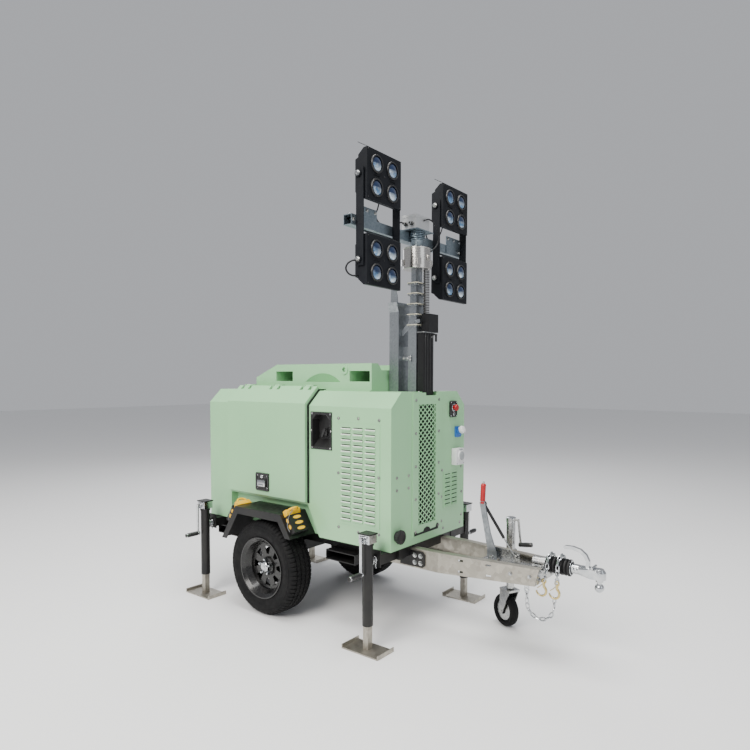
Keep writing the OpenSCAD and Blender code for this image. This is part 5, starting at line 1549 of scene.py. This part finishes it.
@dataclass
class Chain:
    """Safety chains and their hooks at the coupling."""

    wire: float = 4.0
    link_l: float = 40.0
    link_w: float = 25.0
    pitch: float = 30.0
    shaft_z: float = 538.0
    hook_xs: tuple[float, float] = (1762.0, 1838.0)
    strap_xs: tuple[float, float] = (1790.0, 1850.0)
    hook_y: float = -62.0
    hook_z: float = 402.0
    loop_r: float = 75.0
    lug: tuple[float, float] = (1690.0, -100.0)

    @staticmethod
    def links(shape: Shape, path: list[Vector], length: float, width: float, wire: float) -> None:
        """Adds round links along a path, each a quarter turn from the one before.

        Args:
            shape: Shape that takes the links.
            path: Ends of the pitches.
            length: Outside length of a link.
            width: Outside width of a link.
            wire: Radius of the wire.
        """
        radius = width / 2 - wire
        half = length / 2 - wire - radius
        outline = [(half + radius * math.cos(a), radius * math.sin(a))
                   for a in [math.pi * (k / 7 - 0.5) for k in range(8)]]
        outline += [(-x, -y) for x, y in outline]
        for i, (a, b) in enumerate(zip(path, path[1:])):
            d = b - a
            place = (
                Matrix.Translation((a + b) / 2)
                @ Matrix.Rotation(math.atan2(d.y, d.x), 4, "Z")
                @ Matrix.Rotation(-math.atan2(d.z, math.hypot(d.x, d.y)), 4, "Y")
                @ Matrix.Rotation(math.pi / 2 * (i % 2), 4, "X")
            )
            shape.sweep([place @ Vector((x, y, 0)) for x, y in outline], wire, 8, closed=True)

    def strap(self, x: float) -> list[Vector]:
        """Points of a chain over the bellows, from the near side over the top."""
        radius = math.hypot(46.4 + self.link_w / 2, self.pitch / 2)
        step = 2 * math.asin(self.pitch / 2 / radius)
        angles = [i * step - math.radians(12) for i in range(8)]
        return [Vector((x, -radius * math.cos(a), self.shaft_z + radius * math.sin(a))) for a in angles]

    def loop(self) -> list[Vector]:
        """Points of the loop that hangs between the drawbar's lug and the front hook."""
        drop = 2 * self.loop_r * math.sin(math.radians(11.25))
        x0, y0 = self.lug
        zc, count = 320.0, 13
        points = []
        for i in range(count + 1):
            y = y0 + (self.hook_y - 6 - y0) * i / count
            angle = math.radians((i - 3) * 22.5)
            if i < 3:
                points.append(Vector((x0, y, zc + (3 - i) * drop)))
            elif i > 11:
                points.append(Vector((x0 + 2 * self.loop_r, y, zc + (i - 11) * drop)))
            else:
                x, z = x0 + self.loop_r * (1 - math.cos(angle)), zc - self.loop_r * math.sin(angle)
                points.append(Vector((x, y, z)))
        return points

    def build(self) -> None:
        """Makes the chains, the lug and the hooks."""
        chains = Shape("safety_chain_links")
        hooks = Shape("chain_hooks")
        for strap_x, hook_x in zip(self.strap_xs, self.hook_xs):
            strap = self.strap(strap_x)
            eye = Vector((hook_x + 15, self.hook_y - 6, self.hook_z + 56))
            drop = [strap[0] + (eye - strap[0]) * i / 3 for i in range(4)]
            for path in (strap, drop):
                self.links(chains, path, self.link_l, self.link_w, self.wire)
            self.hook(hooks, hook_x)
        self.links(chains, self.loop(), self.link_l, self.link_w, self.wire)
        x, y = self.lug
        chains.band((x, y, 398), Axis.Y, 7, 16, 8)
        chains.box((x - 14, y - 4, 408), (x + 14, y + 4, 436), 1)
        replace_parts(chains.finish(CHROME, "root"), "safety_chains")
        hooks.finish(GOLD_ZINC, "root")

    def hook(self, shape: Shape, x: float) -> None:
        """Adds a forged hook that hangs from its eye.

        Args:
            shape: Shape that takes the hook.
            x: Its place along the trailer.
        """
        y, z = self.hook_y - 6, self.hook_z
        angles = [math.radians(58 - 228 * k / 22) for k in range(23)]
        arc = [(x + 29 * math.cos(a), y, z + 29 * math.sin(a)) for a in angles]
        shape.sweep([(x + 15, y, z + 46), (x + 15.5, y, z + 36)] + arc, 8.0, 12, tip=0.6)
        turns = [math.pi * k / 10 for k in range(20)]
        eye = [(x + 15 + 11 * math.cos(a), y, z + 56 + 11 * math.sin(a)) for a in turns]
        shape.sweep(eye, 4.6, 10, closed=True)
        shape.sweep([(x + 10, y - 5, z + 40), (x - 8, y - 6, z + 22), (x - 22, y - 4, z + 12)], 2.4, 8)


@dataclass
class Drawbar:
    """Bolts, clamps and rings of the drawbar and its coupling."""

    plate_y: float = 198.0
    shaft_z: float = 538.0

    def build(self) -> None:
        """Makes the fittings and the chains."""
        bolts = Shape("drawbar_bolts")
        for sign in SIDES.values():
            for x in (992, 1035):
                for z in (449, 493):
                    bolts.bolt((x, sign * self.plate_y, z), Axis.Y, 18, sign)
            for x in (1610, 1720):
                bolts.bolt((x, sign * (130 + (1772 - x) * 0.1), 486), Axis.Y, 14, sign)
        for y in (-80, 80):
            for z in (462, 508):
                bolts.bolt((1758, y, z), Axis.X, 15)
        bolts.finish(ZINC_PLATE, "root")
        head = Shape("coupling_fittings")
        for x in (1768, 1908):
            head.band((x, 0, self.shaft_z), Axis.X, 35.5, 39, 8)
            head.box((x - 5, -8, self.shaft_z + 38), (x + 5, 8, self.shaft_z + 45), 1)
        for x in (1924, 1942):
            head.bolt((x, -25.5, self.shaft_z + 4), Axis.Y, 14, -1)
            head.bolt((x, 25.5, self.shaft_z + 4), Axis.Y, 14, 1)
        head.rod((2030, 0, 566), Axis.Y, 7, 72)
        head.band((2062, 0, 560), Axis.Z, 8, 23, 5)
        head.finish(CHROME, "root")
        Chain().build()


@dataclass
class Handbrake:
    """Red grip and pins of the handbrake lever with its strut."""

    lever_x: float = 1421.0
    lever_z: float = 510.0
    lever_len: float = 334.0
    lean: float = math.radians(12)
    grip_lean: float = math.radians(3)
    grip_y: float = -8.0
    strut_x: float = 1563.0
    strut_z: float = 532.0

    def build(self) -> None:
        """Makes the grip and the pin heads."""
        reach = self.lever_len - 8
        back, up = reach * math.sin(self.lean), reach * math.cos(self.lean)
        foot = (self.lever_x - back, self.grip_y, self.lever_z + up)
        place = Matrix.Translation(foot) @ Matrix.Rotation(self.grip_lean, 4, "Y")
        profile = [(0, -2), (13.0, -2), (13.0, 13)]
        for i in range(1, 9):
            z = 12.4 * i
            profile += [(14.6, z + 2), (16.4, z + 6), (16.4, z + 9), (14.6, z + 12.6)]
        profile += [(13.5, 116), (9.5, 119.5), (0, 120)]
        Shape("lever_grip").lathe(profile, place, 28).finish(RED, "brake_lever")
        button = Shape("lever_button")
        button.lathe([(0, 118), (6, 118), (6, 128), (4, 131), (0, 131)], place, 20)
        button.bolt((self.lever_x, -12, self.lever_z), Axis.Y, 20, -1)
        button.finish(ZINC_PLATE, "brake_lever")
        pins = Shape("strut_pin")
        pins.bolt((self.strut_x, 30, self.strut_z), Axis.Y, 14, 1)
        pins.bolt((self.lever_x, 30, self.lever_z), Axis.Y, 20, 1)
        pins.finish(ZINC_PLATE, "root")


@dataclass
class JockeyWheel:
    """Grip and clamp screw of the jockey wheel, and its hub discs."""

    x: float = 1415.0
    y: float = 250.0
    trail: float = 40.0
    radius: float = 103.0
    yaw: float = math.radians(-25)
    grip_tilt: float = math.radians(82)

    def build(self) -> None:
        """Makes the trim of the jockey wheel."""
        place = Matrix.Translation((self.x + 58, self.y, 540)) @ Matrix.Rotation(self.grip_tilt, 4, "Y")
        profile = [(0, 0), (13, 0), (14.2, 3), (14.2, 30), (15.2, 48), (14.2, 72), (15, 82), (12, 88)]
        profile.append((0, 88))
        Shape("jockey_grip").lathe(profile, place, 24).finish(BLACK_PLASTIC, "root")
        clamp = Shape("jockey_clamp_screw")
        clamp.rod((self.x + 62, self.y, 472), Axis.X, 7, 52)
        clamp.rod((self.x + 88, self.y, 472), Axis.Y, 5, 78)
        for z in (444, 498):
            clamp.band((self.x, self.y, z), Axis.Z, 37.2, 39.4, 8)
        clamp.finish(CHROME, "root")
        top = Shape("jockey_cap")
        top.band((self.x, self.y, 680), Axis.Z, 27.5, 30.5, 8)
        top.turned((self.x, self.y, 704), Axis.Z, [(31.2, -8), (31.8, 0), (24, 4), (0, 6)], 40)
        top.finish(CHROME, "root")
        hub = Shape("jockey_hub")
        castor = Matrix.Translation((self.x, self.y, 0)) @ Matrix.Rotation(self.yaw, 4, "Z")
        axle = castor @ Matrix.Translation((-self.trail, 0, self.radius)) @ Axis.Y.frame()
        disc = [(9, 18), (60, 18), (63, 20), (60, 21.5), (44, 19.5), (30, 24), (20, 24), (18, 29.6)]
        disc += [(9, 29.6), (9, 18)]
        for way in (-1, 1):
            hub.lathe([(r, way * h) for r, h in disc], axle, 40)
        hub.finish(ZINC_PLATE, "jockey_wheel")


# Stage


@dataclass
class Studio:
    """Camera, light and floor."""

    camera_at: Point = (2.4523, -3.1696, 1.566)
    yaw: float = 0.63858
    pitch: float = 0.04390
    roll: float = 0.0042
    focal_px: float = 602.32
    frame_px: float = 750.0
    centre_px: tuple[float, float] = (404.18, 406.33)

    def build(self) -> None:
        """Sets the stage."""
        self.camera()
        self.lights()
        self.floor()

    def camera(self) -> None:
        """Places the camera as the photograph was taken."""
        data = bpy.data.cameras.new("view")
        data.sensor_width = 36.0
        data.lens = self.focal_px / self.frame_px * data.sensor_width
        data.shift_x = (self.frame_px / 2 - self.centre_px[0]) / self.frame_px
        data.shift_y = (self.centre_px[1] - self.frame_px / 2) / self.frame_px
        data.clip_start = 0.05
        data.clip_end = 200.0
        camera = bpy.data.objects.new("view", data)
        bpy.context.scene.collection.objects.link(camera)
        turn = (
            Matrix.Rotation(self.yaw, 4, "Z")
            @ Matrix.Rotation(math.pi / 2 - self.pitch, 4, "X")
            @ Matrix.Rotation(self.roll, 4, "Z")
        )
        camera.matrix_world = Matrix.Translation(self.camera_at) @ turn
        bpy.context.scene.camera = camera

    def lights(self) -> None:
        """Hangs four soft boxes and a pale sky."""
        self.soft_box("top", (0.3, -0.6, 6.5), 3.5, 420.0, (1.0, 0.99, 0.97))
        self.soft_box("key", (0.5, -6.5, 6.0), 4.5, 780.0, (1.0, 0.97, 0.92))
        self.soft_box("fill", (7.5, -1.0, 3.5), 4.0, 70.0, (0.90, 0.96, 1.0))
        self.soft_box("rim", (-4.5, 4.0, 5.0), 4.0, 150.0, (0.96, 0.98, 1.0))
        world = bpy.data.worlds.new("pale_room")
        world.use_nodes = True
        back = world.node_tree.nodes["Background"]
        back.inputs["Color"].default_value = (0.93, 0.95, 1.0, 1.0)
        back.inputs["Strength"].default_value = 0.5
        bpy.context.scene.world = world

    def soft_box(self, name: str, at: Point, size: float, power: float, colour: Colour) -> None:
        """Adds an area light aimed at the middle of the trailer.

        Args:
            name: Name of the light.
            at: Its place.
            size: Side of its square.
            power: Watts.
            colour: Its tint.
        """
        data = bpy.data.lights.new(name, "AREA")
        data.size = size
        data.energy = power
        data.color = colour
        light = bpy.data.objects.new(name, data)
        light.location = at
        light.rotation_euler = (Vector((0.0, 0.0, 1.0)) - Vector(at)).to_track_quat("-Z", "Y").to_euler()
        bpy.context.scene.collection.objects.link(light)

    def floor(self) -> None:
        """Lays a plain pale floor."""
        shape = bmesh.new()
        bmesh.ops.create_grid(shape, x_segments=1, y_segments=1, size=30.0)
        data = bpy.data.meshes.new("floor")
        shape.to_mesh(data)
        shape.free()
        floor = bpy.data.objects.new("floor", data)
        floor.location.z = -0.0005
        bpy.context.scene.collection.objects.link(floor)
        recipe = Recipe("floor_paper")
        recipe.dress(Base_Color=(0.86, 0.86, 0.86), Roughness=0.85)
        data.materials.append(recipe.material)


JACK_FRONT_X = 902.0
JACK_REAR_X = -642.0

PAINTED: dict[str, Finish] = {
    "chassis_frame": BLACK, "axle_beam": BLACK, "mudguards": BLACK,
    "chocks": YELLOW, "drawbar_beams": BEAM_ZINC, "drawbar_plates": BLACK,
    "coupling_housing": ZINC_PLATE, "coupling_bellows": SOFT_RUBBER, "coupling_head": CHROME,
    "safety_chains": CHROME, "canopy_front": MINT, "canopy_rear": MINT,
    "roof_frame": MINT, "front_grille": MINT, "louvre_panels": MINT,
    "switch_recess": BLACK_PLASTIC, "front_controls": WHITE, "air_cap": BLACK_PLASTIC,
    "engine_block": ENGINE_GREY, "mast_column": GALVANISED, "mast_outer": GALVANISED,
    "cable_duct": BLACK, "jockey_clamp": ZINC_PLATE, "rim_right": RIM_BLACK,
    "rim_left": RIM_BLACK, "door_right": MINT, "door_left": MINT,
    "latch_right": BLACK_PLASTIC, "latch_left": BLACK_PLASTIC, "mast_can": STAINLESS,
    "crossbar": BAR_ZINC, "lamp_bars": LAMP_BLACK, "junction_box": BOX_STEEL,
    "jockey_stem": ZINC_PLATE, "jockey_fork": ZINC_PLATE, "jockey_wheel": TYRE_RUBBER,
    "brake_lever": GALVANISED, "strut_body": BLACK, "strut_rod": ZINC_PLATE,
}


def main() -> None:
    """Builds the scene in order and reports each piece."""
    logging.basicConfig(level=logging.INFO, format="%(message)s")
    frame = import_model()
    tyre_low, tyre_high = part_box("tyre_right")
    Shape.axle_x = (tyre_low[0] + tyre_high[0]) / 2
    Studio().build()
    for node in frame["nodes"]:
        if node.startswith("mast_section"):
            finish: Finish = GALVANISED
        elif node.startswith("lamp_") and node != "lamp_bars":
            finish = LAMP_BLACK
        elif node.startswith("leg_"):
            finish = BEAM_ZINC
        else:
            finish = PAINTED.get(node, BLACK)
        Workshop.repaint(node, frame, finish)
    for side in SIDES:
        Tyre(side).build()
        WheelTrim(side).build()
        DoorLatch(side).build()
        Jack(f"front_{side}", JACK_FRONT_X, SIDES[side]).build()
        Jack(f"rear_{side}", JACK_REAR_X, SIDES[side]).build()
    for part in (Chocks, LampRig, Mast, Canopy, BatterySwitch, FrontControls, Drawbar, Handbrake):
        part().build()
    JockeyWheel().build()


if __name__ == "__main__":
    main()
